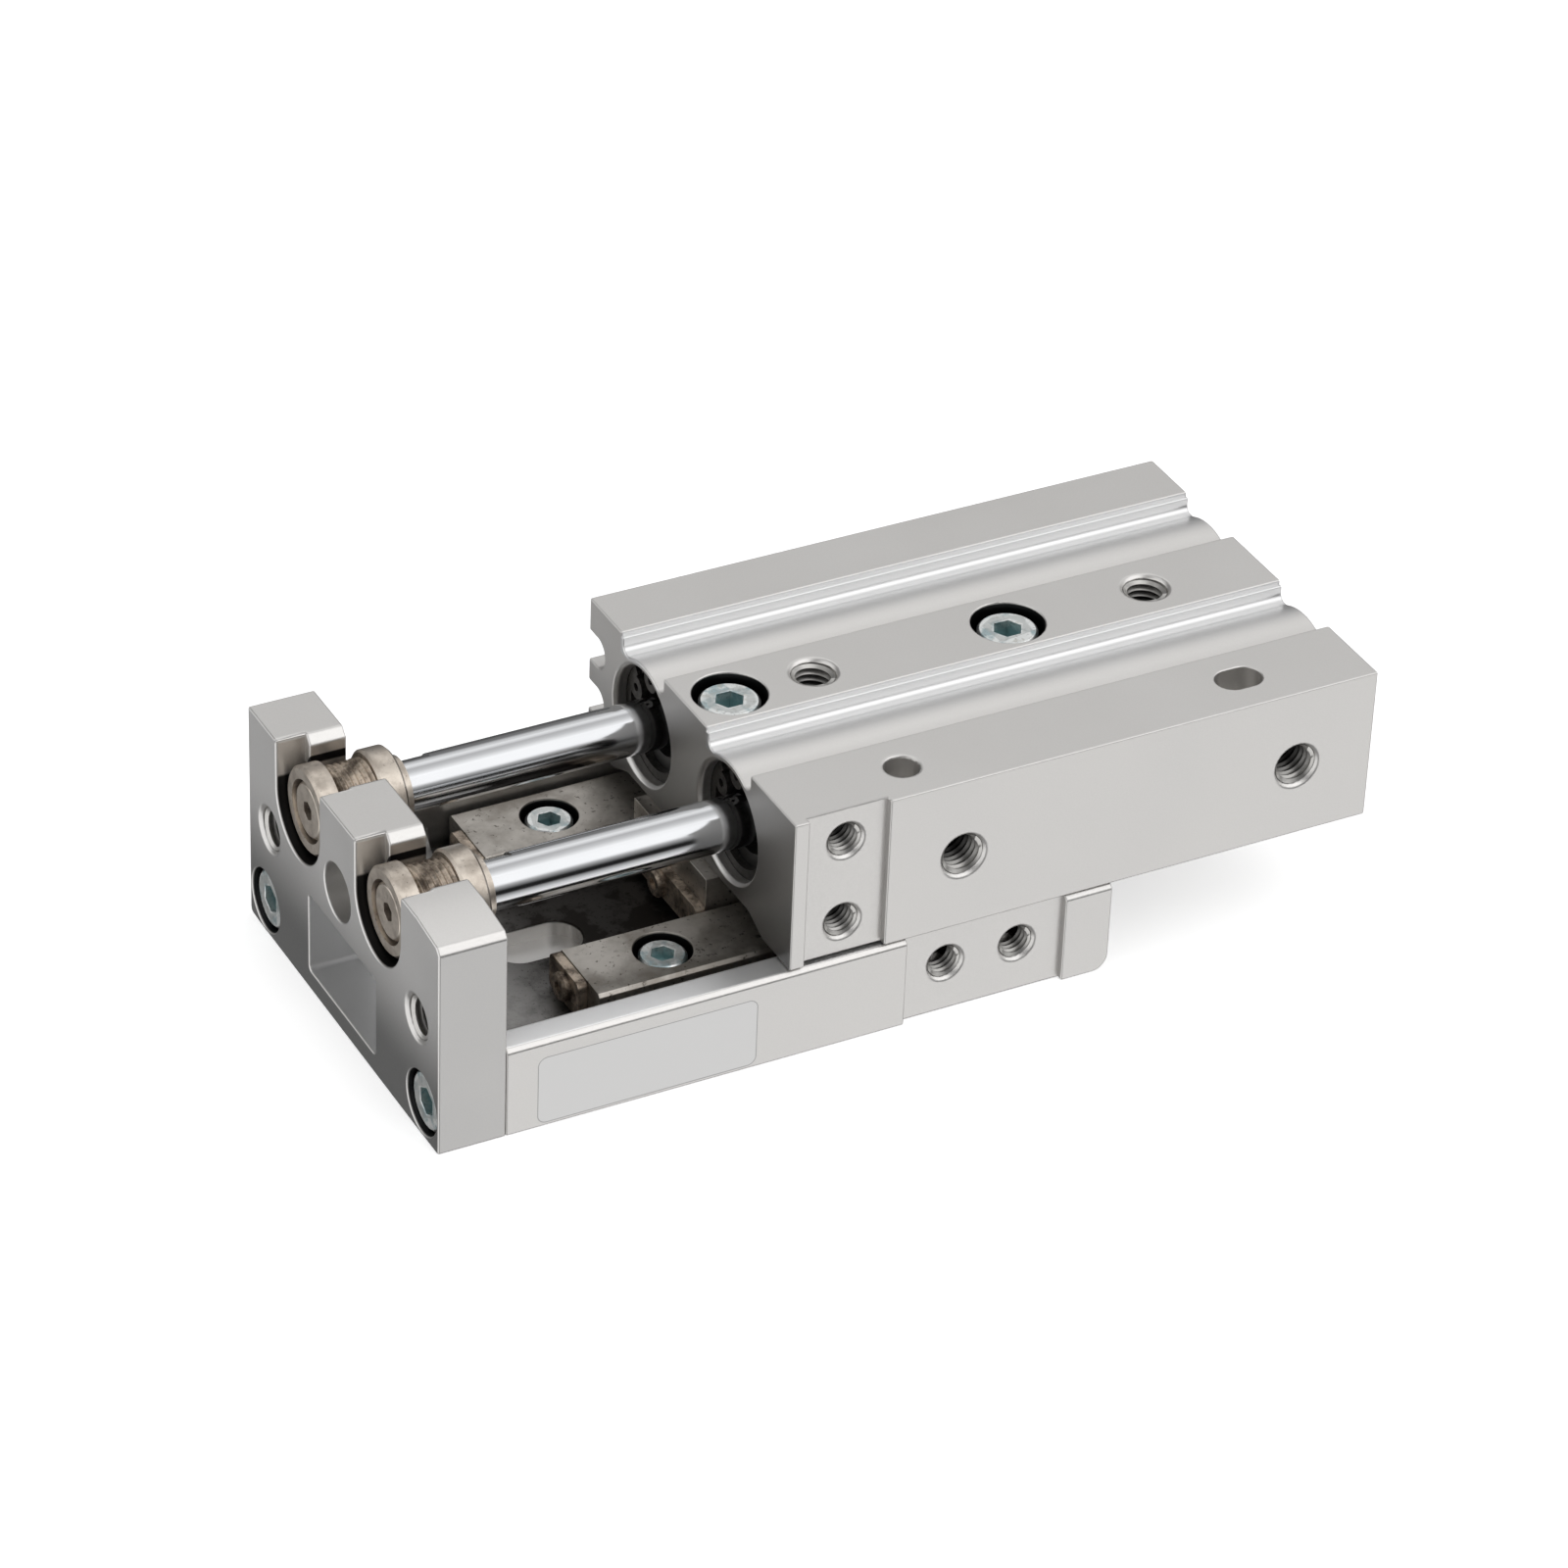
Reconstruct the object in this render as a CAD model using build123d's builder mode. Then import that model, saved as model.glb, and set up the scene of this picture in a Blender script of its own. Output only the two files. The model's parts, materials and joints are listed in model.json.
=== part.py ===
import os

from build123d import *

os.makedirs("parts", exist_ok=True)

# Slide table cylinder with two rods, table face down and table run out, in millimetres.
# X runs along the stroke, with the end plate at the low end. Z is up from the table face.

# Travel
stroke = 30.0
closed_gap = 3.8
stop_gap = 0.2

# Cylinder body
body_width = 50.0
body_height = 19.0
running_gap = 0.3
front_stack = 23.4
rear_stack = 11.2
groove_width = 10.0
groove_depth = 2.2
groove_crown = 7.9
groove_lip = 0.5
groove_fillet = 0.9
underside_recess = 1.6
leg_foot = 6.5
leg_slope = 3.6
underside_fillet = 1.8
switch_slot_width = 3.8
switch_slot_depth = 3.9
switch_slot_drop = 6.1
switch_slot_pitch = 6.6

# Working axes, set off from the middle because the near wall holds the ports
mid_y = 1.1
rod_pitch_share = 0.42
rod_drop = 9.2

# Bores and what closes them
bore_diameter = 12.0
mouth_diameter = 13.8
mouth_depth = 4.5
mouth_chamfer = 0.4
ring_groove_diameter = 14.6
ring_groove_inset = 1.5
ring_groove_width = 1.1
ring_band = 1.5
ring_side_gap = 0.05
ring_ear_radius = 1.45
ring_ear_hole = 0.5
ring_ear_spread = 26.0
ring_ear_heading = 50.0
plug_clearance = 0.05
cover_length = 12.0
cover_recess_diameter = 8.4
cover_recess_depth = 2.4
rod_seal_inset = 2.8
rod_seal_length = 3.0
rod_seal_wall = 1.9
cover_ring_inset = 6.5
cap_ring_inset = 0.45
cord_ring_diameter = 1.04
cord_ring_groove = 1.6
nose_diameter = 9.0
cap_length = 2.7
cushion_length = 1.8
cushion_hole = 3.3

# Rods, pistons and their floating joints
rod_diameter = 6.0
rod_clearance = 0.05
rod_flat_across = 5.4
rod_flat_start = 4.4
rod_flat_length = 3.6
rod_flat_heading = -30.0
piston_length = 8.0
piston_clearance = 0.07
piston_seat_depth = 1.6
piston_seal_inset = 1.7
piston_seal_width = 1.8
piston_seal_height = 1.6
magnet_inset = 4.3
magnet_width = 2.0
magnet_height = 1.7
magnet_drop = 0.25
ring_slack = 0.05
piston_recess_diameter = 6.2
piston_recess_depth = 2.4
disc_diameter = 10.3
disc_length = 2.4
disc_inset = 1.0
disc_recess_diameter = 7.4
disc_recess_depth = 2.1
sleeve_diameter = 8.4
shoulder_diameter = 7.4
shoulder_length = 1.1
collar_diameter = 10.4
collar_length = 2.9
float_gap = 0.3
rod_seat_depth = 5.3
rod_end_gap = 0.2

# End plate
plate_thickness = 8.0
plate_height = 27.4
bevel_width = 5.8
bevel_drop = 0.8
slot_width = 9.4
disc_pocket_width = 11.6
disc_pocket_depth = 3.6
slot_edge = 1.0
pocket_edge = 0.3
bevel_edge = 0.7
pocket_width = 17.6
pocket_height = 10.1
pocket_floor = 2.4
pocket_depth = 5.8
pocket_corner = 0.6
window_diameter = 6.8
window_height = 17.6
plate_thread_inset = 5.6
plate_thread_height = 14.4
plate_screw_inset = 4.3
plate_screw_height = 4.1
plate_corner = 0.8

# Table
table_height = 11.3
table_floor = 5.0
table_wall = 4.0
table_tail_inset = 2.6
table_root_fillet = 3.5
wall_chamfer = 0.5
side_pad_start = 48.4
side_pad_length = 19.9
side_pad_depth = 0.8
tail_round = 2.0
floor_slot_inset = 15.5
floor_slot_length = 10.6
floor_slot_width = 6.2
floor_slot_depth = 2.0
floor_slot_y = -0.2
table_thread_first = 14.5
table_thread_pitch = 40.0
table_thread_spread = 28.0
table_thread_depth = 4.2
table_pin_diameter = 4.0
table_pin_depth = 3.2
table_pin_first = 34.5
table_pin_pitch = 28.0
table_pin_slot_length = 5.0

# Crossed roller guide
rail_wall_gap = 0.7
rail_top_gap = 1.6
rail_front_inset = 14.3
rail_rear_inset = 2.4
rail_chamfer = 0.4
rail_screw_first = 10.1
rail_screw_pitch = 20.0
rail_screw_count = 3
guide_gap = 0.5
block_width_share = 0.356
block_floor_gap = 0.6
block_overhang = 1.5
block_length = 46.5
roller_diameter = 1.8
roller_length = 1.7
roller_play = 0.02
roller_pitch = 3.4
roller_count = 7
cage_thickness = 0.3
cage_height = 3.4
cage_margin = 2.9
cage_start = 3.0
cage_window_slack = 0.2
stopper_thickness = 1.2
stopper_width = 7.2
stopper_lap = 0.15
stopper_drop = 0.3
stopper_corner = 0.8
block_stopper_margin = 0.5

# Screws: head radius, head height, shank radius, key width
m4_screw = (3.5, 4.0, 2.0, 3.0)
m3_screw = (2.75, 3.0, 1.5, 2.5)
m3_low_screw = (2.75, 2.1, 1.5, 2.0)
stopper_screw = (1.7, 0.8, 0.9, 1.3)
joint_screw = (3.3, 1.9, 2.0, 2.0)
screw_clearance = 0.15
screw_end_gap = 0.2
thread_clearance = 0.05
plate_screw_sink = 0.6
body_screw_sink = 0.8
rail_screw_sink = 0.5
body_counterbore_radius = 4.25
plate_counterbore_radius = 3.8
rail_counterbore_radius = 3.35
head_chamfer = 0.3
key_depth_share = 0.55
guide_screw_length = 18.5
guide_screw_first = 5.4
guide_screw_pitch = 35.0
plate_screw_length = 11.0
rail_screw_length = 5.0
stopper_screw_length = 3.2
joint_screw_length = 9.0
piston_screw_length = 12.0

# Threads and pins that a neighbour uses: thread major radius, mouth radius
m5_thread = (2.5, 2.9)
m4_thread = (2.0, 2.4)
body_thread_first = 15.8
body_thread_pitch = 42.4
body_thread_depth = 10.0
body_pin_inset = 5.5
body_pin_diameter = 4.0
body_pin_mouth = 0.2
body_pin_depth = 4.0
body_pin_slot_length = 5.6
port_drop = 9.8
port_lead = 2.4
rear_port_inset = 9.7
side_thread_depth = 6.5
body_pad_start = 1.8
body_pad_end = 11.6
body_pad_depth = 0.9
body_pad_thread_inset = 6.7
body_pad_thread_low = 4.1
body_pad_thread_pitch = 10.6
table_side_thread_first = 5.3
table_side_thread_pitch = 9.0
table_side_thread_height = 6.3

# Places that follow from the sizes above
body_length = front_stack + piston_length + stroke + 2 * stop_gap + rear_stack
plate_front = -(plate_thickness + stroke + closed_gap + body_length) / 2
plate_back = plate_front + plate_thickness
body_front = plate_back + stroke + closed_gap
body_rear = body_front + body_length
half_width = body_width / 2
underside_width = body_width - 2 * leg_foot
body_foot = table_height + running_gap
body_top = body_foot + body_height
body_underside = body_foot + underside_recess
rod_z = body_top - rod_drop
rod_pitch = rod_pitch_share * body_width
near_y = mid_y - rod_pitch / 2
far_y = mid_y + rod_pitch / 2
rod_sides = (("near", near_y), ("far", far_y))
table_length = body_length + closed_gap - table_tail_inset
table_rear = plate_back + table_length
wall_inside = half_width - table_wall
block_width = block_width_share * body_width
rail_inside = block_width / 2 + guide_gap
rail_width = wall_inside - rail_wall_gap - mid_y - rail_inside
rail_front = plate_back + rail_front_inset
rail_rear = table_rear - rail_rear_inset
rail_top = table_height - rail_top_gap
rail_height = rail_top - table_floor
rail_seat_z = rail_top - m3_screw[1] - rail_screw_sink
track_z = table_floor + rail_height / 2
block_front = body_front - block_overhang
block_rear = block_front + block_length
block_bottom = table_floor + block_floor_gap
track_reach = (roller_diameter / 2 + roller_play) * 2**0.5
track_depth = track_reach - guide_gap / 2
piston_front = body_front + front_stack + stop_gap
piston_rear = piston_front + piston_length
guide_seat_z = body_top - m4_screw[1] - body_screw_sink
body_pin_y = body_pin_inset - half_width
plate_thread_y = half_width - plate_thread_inset
plate_screw_y = half_width - plate_screw_inset
plate_seat_x = plate_front + m4_screw[1] + plate_screw_sink
port_z = body_top - port_drop
front_port_x = body_front + front_stack - port_lead
rear_port_x = body_rear - rear_port_inset
cover_front = body_front + ring_groove_inset + ring_groove_width
cap_rear = body_rear - ring_groove_inset - ring_groove_width


def keep(piece, name):
    """Label a finished piece and write it."""
    piece.part.label = name
    export_step(piece.part, f"parts/{name}.step")


def across(x):
    """Plane across the stroke at x: its X is Y and its Y is Z."""
    return Plane.YZ.offset(x)


def rod_plane(y):
    """Plane through a rod: its X is X and its Y is the distance from the rod's axis."""
    return Plane(origin=(0, y, rod_z), x_dir=(1, 0, 0), z_dir=(0, -1, 0))


def rod_axis(y):
    return Axis((0, y, rod_z), (1, 0, 0))


def facing(x, y, z, outward):
    """Plane on a face of the part, with its normal pointing out of the material."""
    return Plane(origin=(x, y, z), z_dir=outward)


def socket_screws(seats, size, length):
    """Socket head screws, one for each seat, with heads that stand on the seats."""
    head_radius, head_height, shank_radius, key_width = size
    with BuildPart() as screws:
        for seat in seats:
            section = Plane(origin=seat.origin, x_dir=seat.x_dir, z_dir=-seat.y_dir)
            with BuildSketch(section):
                with BuildLine():
                    Polyline(
                        (0, -length),
                        (shank_radius - head_chamfer, -length),
                        (shank_radius, head_chamfer - length),
                        (shank_radius, 0),
                        (head_radius, 0),
                        (head_radius, head_height - head_chamfer),
                        (head_radius - head_chamfer, head_height),
                        (0, head_height),
                        close=True,
                    )
                make_face()
            revolve(axis=Axis(seat.origin, seat.z_dir))
            with BuildSketch(seat.offset(head_height)):
                RegularPolygon(key_width / 2, 6, major_radius=False)
            extrude(amount=-head_height * key_depth_share, mode=Mode.SUBTRACT)
    return screws


# Cylinder body: one extrusion with two crowned grooves on top and two switch slots on the far side
with BuildPart() as cylinder_body:
    with BuildSketch(across(body_front)) as body_section:
        with Locations((0, body_foot + body_height / 2)):
            Rectangle(body_width, body_height)
        for _, rod_y in rod_sides:
            with Locations((rod_y, body_top)):
                Rectangle(groove_width, 2 * groove_depth, mode=Mode.SUBTRACT)
            with Locations((rod_y, rod_z)):
                Circle(groove_crown)
            with Locations((rod_y + groove_width / 2, body_top)):
                Rectangle(2 * groove_lip, 2 * groove_lip, mode=Mode.SUBTRACT)
        for slot in range(2):
            slot_z = body_top - switch_slot_drop - slot * switch_slot_pitch
            slot_floor = half_width - switch_slot_depth + switch_slot_width / 2
            with Locations((slot_floor, slot_z)):
                Circle(switch_slot_width / 2, mode=Mode.SUBTRACT)
            with Locations(((slot_floor + half_width) / 2, slot_z)):
                Rectangle(half_width - slot_floor, switch_slot_width, mode=Mode.SUBTRACT)
        with BuildLine():
            Polyline(
                (-underside_width / 2, body_foot),
                (leg_slope - underside_width / 2, body_underside),
                (underside_width / 2 - leg_slope, body_underside),
                (underside_width / 2, body_foot),
                close=True,
            )
        make_face(mode=Mode.SUBTRACT)
        leg_corners = body_section.vertices().group_by(Axis.Y)[0].sort_by(Axis.X)[1:-1]
        fillet(leg_corners + body_section.vertices().group_by(Axis.Y)[1], underside_fillet)
        groove_floor = body_top - groove_depth
        floor_corners = body_section.vertices().filter_by_position(Axis.Y, groove_floor - 0.01, groove_floor + 0.01)
        fillet(floor_corners, groove_fillet)
    extrude(amount=body_length)
    # Stepped bores with a ring groove at each mouth
    for _, rod_y in rod_sides:
        with BuildSketch(rod_plane(rod_y)):
            with BuildLine():
                mouth = mouth_diameter / 2
                groove = ring_groove_diameter / 2
                Polyline(
                    (body_front, 0),
                    (body_front, mouth + mouth_chamfer),
                    (body_front + mouth_chamfer, mouth),
                    (body_front + ring_groove_inset, mouth),
                    (body_front + ring_groove_inset, groove),
                    (cover_front, groove),
                    (cover_front, mouth),
                    (body_front + mouth_depth, mouth),
                    (body_front + mouth_depth, bore_diameter / 2),
                    (body_rear - mouth_depth, bore_diameter / 2),
                    (body_rear - mouth_depth, mouth),
                    (cap_rear, mouth),
                    (cap_rear, groove),
                    (body_rear - ring_groove_inset, groove),
                    (body_rear - ring_groove_inset, mouth),
                    (body_rear - mouth_chamfer, mouth),
                    (body_rear, mouth + mouth_chamfer),
                    (body_rear, 0),
                    close=True,
                )
            make_face()
        revolve(axis=rod_axis(rod_y), mode=Mode.SUBTRACT)
    # Pad for a stroke adjuster at the front of the near side
    pad_middle = body_front + (body_pad_start + body_pad_end) / 2
    with BuildSketch(Plane.XZ.offset(half_width)):
        with Locations((pad_middle, body_foot + body_height / 2)):
            Rectangle(body_pad_end - body_pad_start, body_height)
    extrude(amount=-body_pad_depth, mode=Mode.SUBTRACT)
    pad_face_y = body_pad_depth - half_width
    for step in range(2):
        thread_z = body_foot + body_pad_thread_low + step * body_pad_thread_pitch
        with Locations(facing(body_front + body_pad_thread_inset, pad_face_y, thread_z, (0, -1, 0))):
            CounterSinkHole(m4_thread[0], m4_thread[1], side_thread_depth, 90)
    # Ports, each drilled on through the near bore to the far one
    for port_x in (front_port_x, rear_port_x):
        with Locations(facing(port_x, -half_width, port_z, (0, -1, 0))):
            CounterSinkHole(m5_thread[0], m5_thread[1], far_y - bore_diameter / 4 + half_width, 90)
    # Screws, threads and pins on the centre land and the near land
    with Locations(
        (body_front + guide_screw_first, mid_y, body_top),
        (body_front + guide_screw_first + guide_screw_pitch, mid_y, body_top),
    ):
        CounterBoreHole(
            m4_screw[2] + screw_clearance,
            body_counterbore_radius,
            body_top - guide_seat_z,
            body_height,
        )
    thread_row = [body_front + body_thread_first + step * body_thread_pitch for step in range(2)]
    with Locations(*[(x, mid_y, body_top) for x in thread_row]):
        CounterSinkHole(m5_thread[0], m5_thread[1], body_thread_depth, 90)
    with Locations((thread_row[0], body_pin_y, body_top)):
        CounterSinkHole(body_pin_diameter / 2, body_pin_diameter / 2 + body_pin_mouth, body_pin_depth, 90)
    with BuildSketch(Plane.XY.offset(body_top)):
        with Locations((thread_row[1], body_pin_y)):
            SlotOverall(body_pin_slot_length, body_pin_diameter)
    extrude(amount=-body_pin_depth, mode=Mode.SUBTRACT)
keep(cylinder_body, "cylinder_body")

# Rod covers: flanged bushes that close the front of the bores and carry the rods
for side, rod_y in rod_sides:
    flange_end = body_front + mouth_depth
    cover_end = flange_end + cover_length
    nose_end = body_front + front_stack - cushion_length
    ring_start = flange_end + cover_ring_inset
    barrel = bore_diameter / 2 - plug_clearance
    with BuildPart() as rod_cover:
        with BuildSketch(rod_plane(rod_y)):
            with BuildLine():
                Polyline(
                    (cover_front, cover_recess_diameter / 2),
                    (cover_front, mouth_diameter / 2 - plug_clearance),
                    (flange_end, mouth_diameter / 2 - plug_clearance),
                    (flange_end, barrel),
                    (ring_start, barrel),
                    (ring_start, bore_diameter / 2 - cord_ring_diameter),
                    (ring_start + cord_ring_groove, bore_diameter / 2 - cord_ring_diameter),
                    (ring_start + cord_ring_groove, barrel),
                    (cover_end, barrel),
                    (cover_end, nose_diameter / 2),
                    (nose_end, nose_diameter / 2),
                    (nose_end, rod_diameter / 2 + rod_clearance),
                    (cover_front + cover_recess_depth, rod_diameter / 2 + rod_clearance),
                    (cover_front + cover_recess_depth, cover_recess_diameter / 2),
                    close=True,
                )
            make_face()
        revolve(axis=rod_axis(rod_y))
        with BuildSketch(rod_plane(rod_y)):
            with Locations((cover_front + rod_seal_inset + rod_seal_length / 2, rod_diameter / 2)):
                Rectangle(rod_seal_length, 2 * (rod_clearance + rod_seal_wall))
        revolve(axis=rod_axis(rod_y), mode=Mode.SUBTRACT)
    keep(rod_cover, f"rod_cover_{side}")

    # Lip seal in the rod cover
    with BuildPart() as rod_seal:
        seal_wall = rod_seal_wall - ring_slack
        with BuildSketch(rod_plane(rod_y)):
            with Locations((cover_front + rod_seal_inset + rod_seal_length / 2,
                            rod_diameter / 2 + rod_clearance + seal_wall / 2)):
                Rectangle(rod_seal_length - 2 * ring_slack, seal_wall)
        revolve(axis=rod_axis(rod_y))
    keep(rod_seal, f"rod_seal_{side}")

    # Head cap: plug that closes the rear of a bore
    with BuildPart() as head_cap:
        cap_flange = body_rear - mouth_depth
        cap_end = cap_flange - cap_length
        cap_ring_start = cap_end + cap_ring_inset
        cap_nose = body_rear - rear_stack + cushion_length
        with BuildSketch(rod_plane(rod_y)):
            with BuildLine():
                Polyline(
                    (cap_nose, 0),
                    (cap_nose, nose_diameter / 2),
                    (cap_end, nose_diameter / 2),
                    (cap_end, barrel),
                    (cap_ring_start, barrel),
                    (cap_ring_start, bore_diameter / 2 - cord_ring_diameter),
                    (cap_ring_start + cord_ring_groove, bore_diameter / 2 - cord_ring_diameter),
                    (cap_ring_start + cord_ring_groove, barrel),
                    (cap_flange, barrel),
                    (cap_flange, mouth_diameter / 2 - plug_clearance),
                    (cap_rear, mouth_diameter / 2 - plug_clearance),
                    (cap_rear, 0),
                    close=True,
                )
            make_face()
        revolve(axis=rod_axis(rod_y))
    keep(head_cap, f"head_cap_{side}")

# Rubber rings in the grooves of the rod covers and head caps
with BuildPart() as cover_rings:
    cord_centres = (
        body_front + mouth_depth + cover_ring_inset + cord_ring_groove / 2,
        body_rear - mouth_depth - cap_length + cap_ring_inset + cord_ring_groove / 2,
    )
    for _, rod_y in rod_sides:
        for centre_x in cord_centres:
            with BuildSketch(rod_plane(rod_y)):
                with Locations((centre_x, (bore_diameter - cord_ring_diameter) / 2)):
                    RegularPolygon(cord_ring_diameter / 2 - ring_slack / 2, 8)
            revolve(axis=rod_axis(rod_y))
keep(cover_rings, "cover_rings")

# Rubber cushions where the pistons stop
with BuildPart() as stop_cushions:
    for _, rod_y in rod_sides:
        for cushion_x in (body_front + front_stack - cushion_length, body_rear - rear_stack):
            with BuildSketch(rod_plane(rod_y)):
                with Locations((cushion_x + cushion_length / 2, (cushion_hole + nose_diameter / 2) / 2)):
                    Rectangle(cushion_length, nose_diameter / 2 - cushion_hole)
            revolve(axis=rod_axis(rod_y))
keep(stop_cushions, "stop_cushions")


def retaining_rings(start):
    """Two open rings with eared ends, one in each bore's mouth."""
    outer = ring_groove_diameter / 2 - ring_slack
    ear_middle = outer - ring_band - ring_ear_radius / 2
    with BuildPart() as rings:
        for _, rod_y in rod_sides:
            with BuildSketch(across(start + ring_side_gap)):
                with Locations((rod_y, rod_z)):
                    Circle(outer)
                    Circle(outer - ring_band, mode=Mode.SUBTRACT)
                    with PolarLocations(ear_middle, 2, ring_ear_heading - ring_ear_spread, 2 * ring_ear_spread,
                                        endpoint=True):
                        Circle(ring_ear_radius)
                    with Locations(Location((0, 0), ring_ear_heading)):
                        with Locations((outer, 0)):
                            Rectangle(2 * outer, ring_ear_radius, mode=Mode.SUBTRACT)
                    with PolarLocations(ear_middle, 2, ring_ear_heading - ring_ear_spread, 2 * ring_ear_spread,
                                        endpoint=True):
                        Circle(ring_ear_hole, mode=Mode.SUBTRACT)
            extrude(amount=ring_groove_width - 2 * ring_side_gap)
    return rings


keep(retaining_rings(body_front + ring_groove_inset), "front_retaining_rings")
keep(retaining_rings(cap_rear), "rear_retaining_rings")

# Guide block: hardened steel bar between the rails, with a roller track in each side
with BuildPart() as guide_block:
    with BuildSketch(across(block_front)):
        with Locations((mid_y, (block_bottom + body_underside) / 2)):
            Rectangle(block_width, body_underside - block_bottom)
        for face_y in (mid_y - block_width / 2, mid_y + block_width / 2):
            with Locations((face_y, track_z)):
                RegularPolygon(track_depth, 4, mode=Mode.SUBTRACT)
    extrude(amount=block_length)
    chamfer(guide_block.edges().filter_by(Axis.X).group_by(Axis.Z)[0], rail_chamfer)
    for step in range(2):
        with Locations((body_front + guide_screw_first + step * guide_screw_pitch, mid_y, body_underside)):
            Hole(m4_screw[2] + thread_clearance, body_underside - block_bottom)
    for end_x, outward in ((block_front, -1), (block_rear, 1)):
        with Locations(facing(end_x, mid_y, (block_bottom + rail_top) / 2, (outward, 0, 0))):
            Hole(stopper_screw[2] + thread_clearance, stopper_screw_length)
keep(guide_block, "guide_block")

guide_seats = [
    Plane.XY.offset(guide_seat_z).move(Location((body_front + guide_screw_first + step * guide_screw_pitch, mid_y, 0)))
    for step in range(2)
]
keep(socket_screws(guide_seats, m4_screw, guide_screw_length), "guide_block_screws")

# Stop plates on the ends of the guide block, just wide enough to catch the cages
with BuildPart() as block_stoppers:
    stopper_top = rail_top
    stopper_bottom = block_bottom + block_stopper_margin
    for start_x in (block_front - stopper_thickness, block_rear):
        with BuildSketch(across(start_x)):
            with Locations((mid_y, (stopper_bottom + stopper_top) / 2)):
                RectangleRounded(block_width + 2 * stopper_lap, stopper_top - stopper_bottom, stopper_corner)
            with Locations((mid_y, (block_bottom + rail_top) / 2)):
                Circle(stopper_screw[2] + screw_clearance, mode=Mode.SUBTRACT)
        extrude(amount=stopper_thickness)
keep(block_stoppers, "block_stoppers")

block_stopper_seats = [
    facing(block_front - stopper_thickness, mid_y, (block_bottom + rail_top) / 2, (-1, 0, 0)),
    facing(block_rear + stopper_thickness, mid_y, (block_bottom + rail_top) / 2, (1, 0, 0)),
]
keep(socket_screws(block_stopper_seats, stopper_screw, stopper_screw_length), "block_stopper_screws")

# Table: channel that carries the rails and the end plate
rail_sides = (("near", mid_y - rail_inside - rail_width / 2), ("far", mid_y + rail_inside + rail_width / 2))
rail_screw_row = [rail_front + rail_screw_first + step * rail_screw_pitch for step in range(rail_screw_count)]
with BuildPart() as slide_table:
    with BuildSketch(across(plate_back)):
        with Locations((0, table_height / 2)):
            Rectangle(body_width, table_height)
        with Locations((0, table_height + table_floor)):
            RectangleRounded(2 * wall_inside, 2 * table_height, table_root_fillet, mode=Mode.SUBTRACT)
    extrude(amount=table_length)
    chamfer(slide_table.edges().filter_by(Axis.X).group_by(Axis.Z)[-1], wall_chamfer)
    # Flat seat for the rails, milled in from the rear
    seat_front = rail_front - stopper_thickness - stopper_screw[1] - running_gap
    with BuildSketch(Plane.XY.offset(table_floor)):
        with Locations(((seat_front + table_rear) / 2, 0)):
            Rectangle(table_rear - seat_front, 2 * wall_inside)
    extrude(amount=table_root_fillet, mode=Mode.SUBTRACT)
    # Rounded foot at the rear
    fillet(slide_table.edges().filter_by(Axis.Y).group_by(Axis.Z)[0].sort_by(Axis.X)[-1], tail_round)
    # Pad and threads for a stroke adjuster on the near side
    pad_start = plate_back + side_pad_start
    with BuildSketch(Plane.XZ.offset(half_width)):
        with Locations((pad_start + side_pad_length / 2, table_height / 2)):
            Rectangle(side_pad_length, table_height)
    extrude(amount=-side_pad_depth, mode=Mode.SUBTRACT)
    for step in range(2):
        side_thread_x = pad_start + table_side_thread_first + step * table_side_thread_pitch
        side_face = facing(side_thread_x, side_pad_depth - half_width, table_side_thread_height, (0, -1, 0))
        with Locations(side_face):
            CounterSinkHole(m4_thread[0], m4_thread[1], table_wall, 90)
    # Blind slot in the floor
    with BuildSketch(Plane.XY.offset(table_floor)):
        with Locations((plate_back + floor_slot_inset, floor_slot_y)):
            SlotOverall(floor_slot_length, floor_slot_width)
    extrude(amount=-floor_slot_depth, mode=Mode.SUBTRACT)
    # Thread holes for the rail screws and the end plate screws
    for _, rail_y in rail_sides:
        for screw_x in rail_screw_row:
            with Locations((screw_x, rail_y, table_floor)):
                Hole(m3_screw[2] + thread_clearance, table_floor - rail_seat_z + rail_screw_length + screw_end_gap)
    for screw_y in (-plate_screw_y, plate_screw_y):
        with Locations(facing(plate_back, screw_y, plate_screw_height, (-1, 0, 0))):
            Hole(m4_screw[2] + thread_clearance, plate_seat_x - plate_back + plate_screw_length + screw_end_gap)
    # Mounting threads, pin hole and pin slot in the table face
    for step in range(2):
        for mount_y in (-table_thread_spread / 2, table_thread_spread / 2):
            mount_x = plate_back + table_thread_first + step * table_thread_pitch
            with Locations(facing(mount_x, mount_y, 0, (0, 0, -1))):
                Hole(m4_thread[0], table_thread_depth)
    with Locations(facing(plate_back + table_pin_first, 0, 0, (0, 0, -1))):
        Hole(table_pin_diameter / 2, table_pin_depth)
    with BuildSketch(Plane.XY):
        with Locations((plate_back + table_pin_first + table_pin_pitch, 0)):
            SlotOverall(table_pin_slot_length, table_pin_diameter)
    extrude(amount=table_pin_depth, mode=Mode.SUBTRACT)
keep(slide_table, "slide_table")

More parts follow.
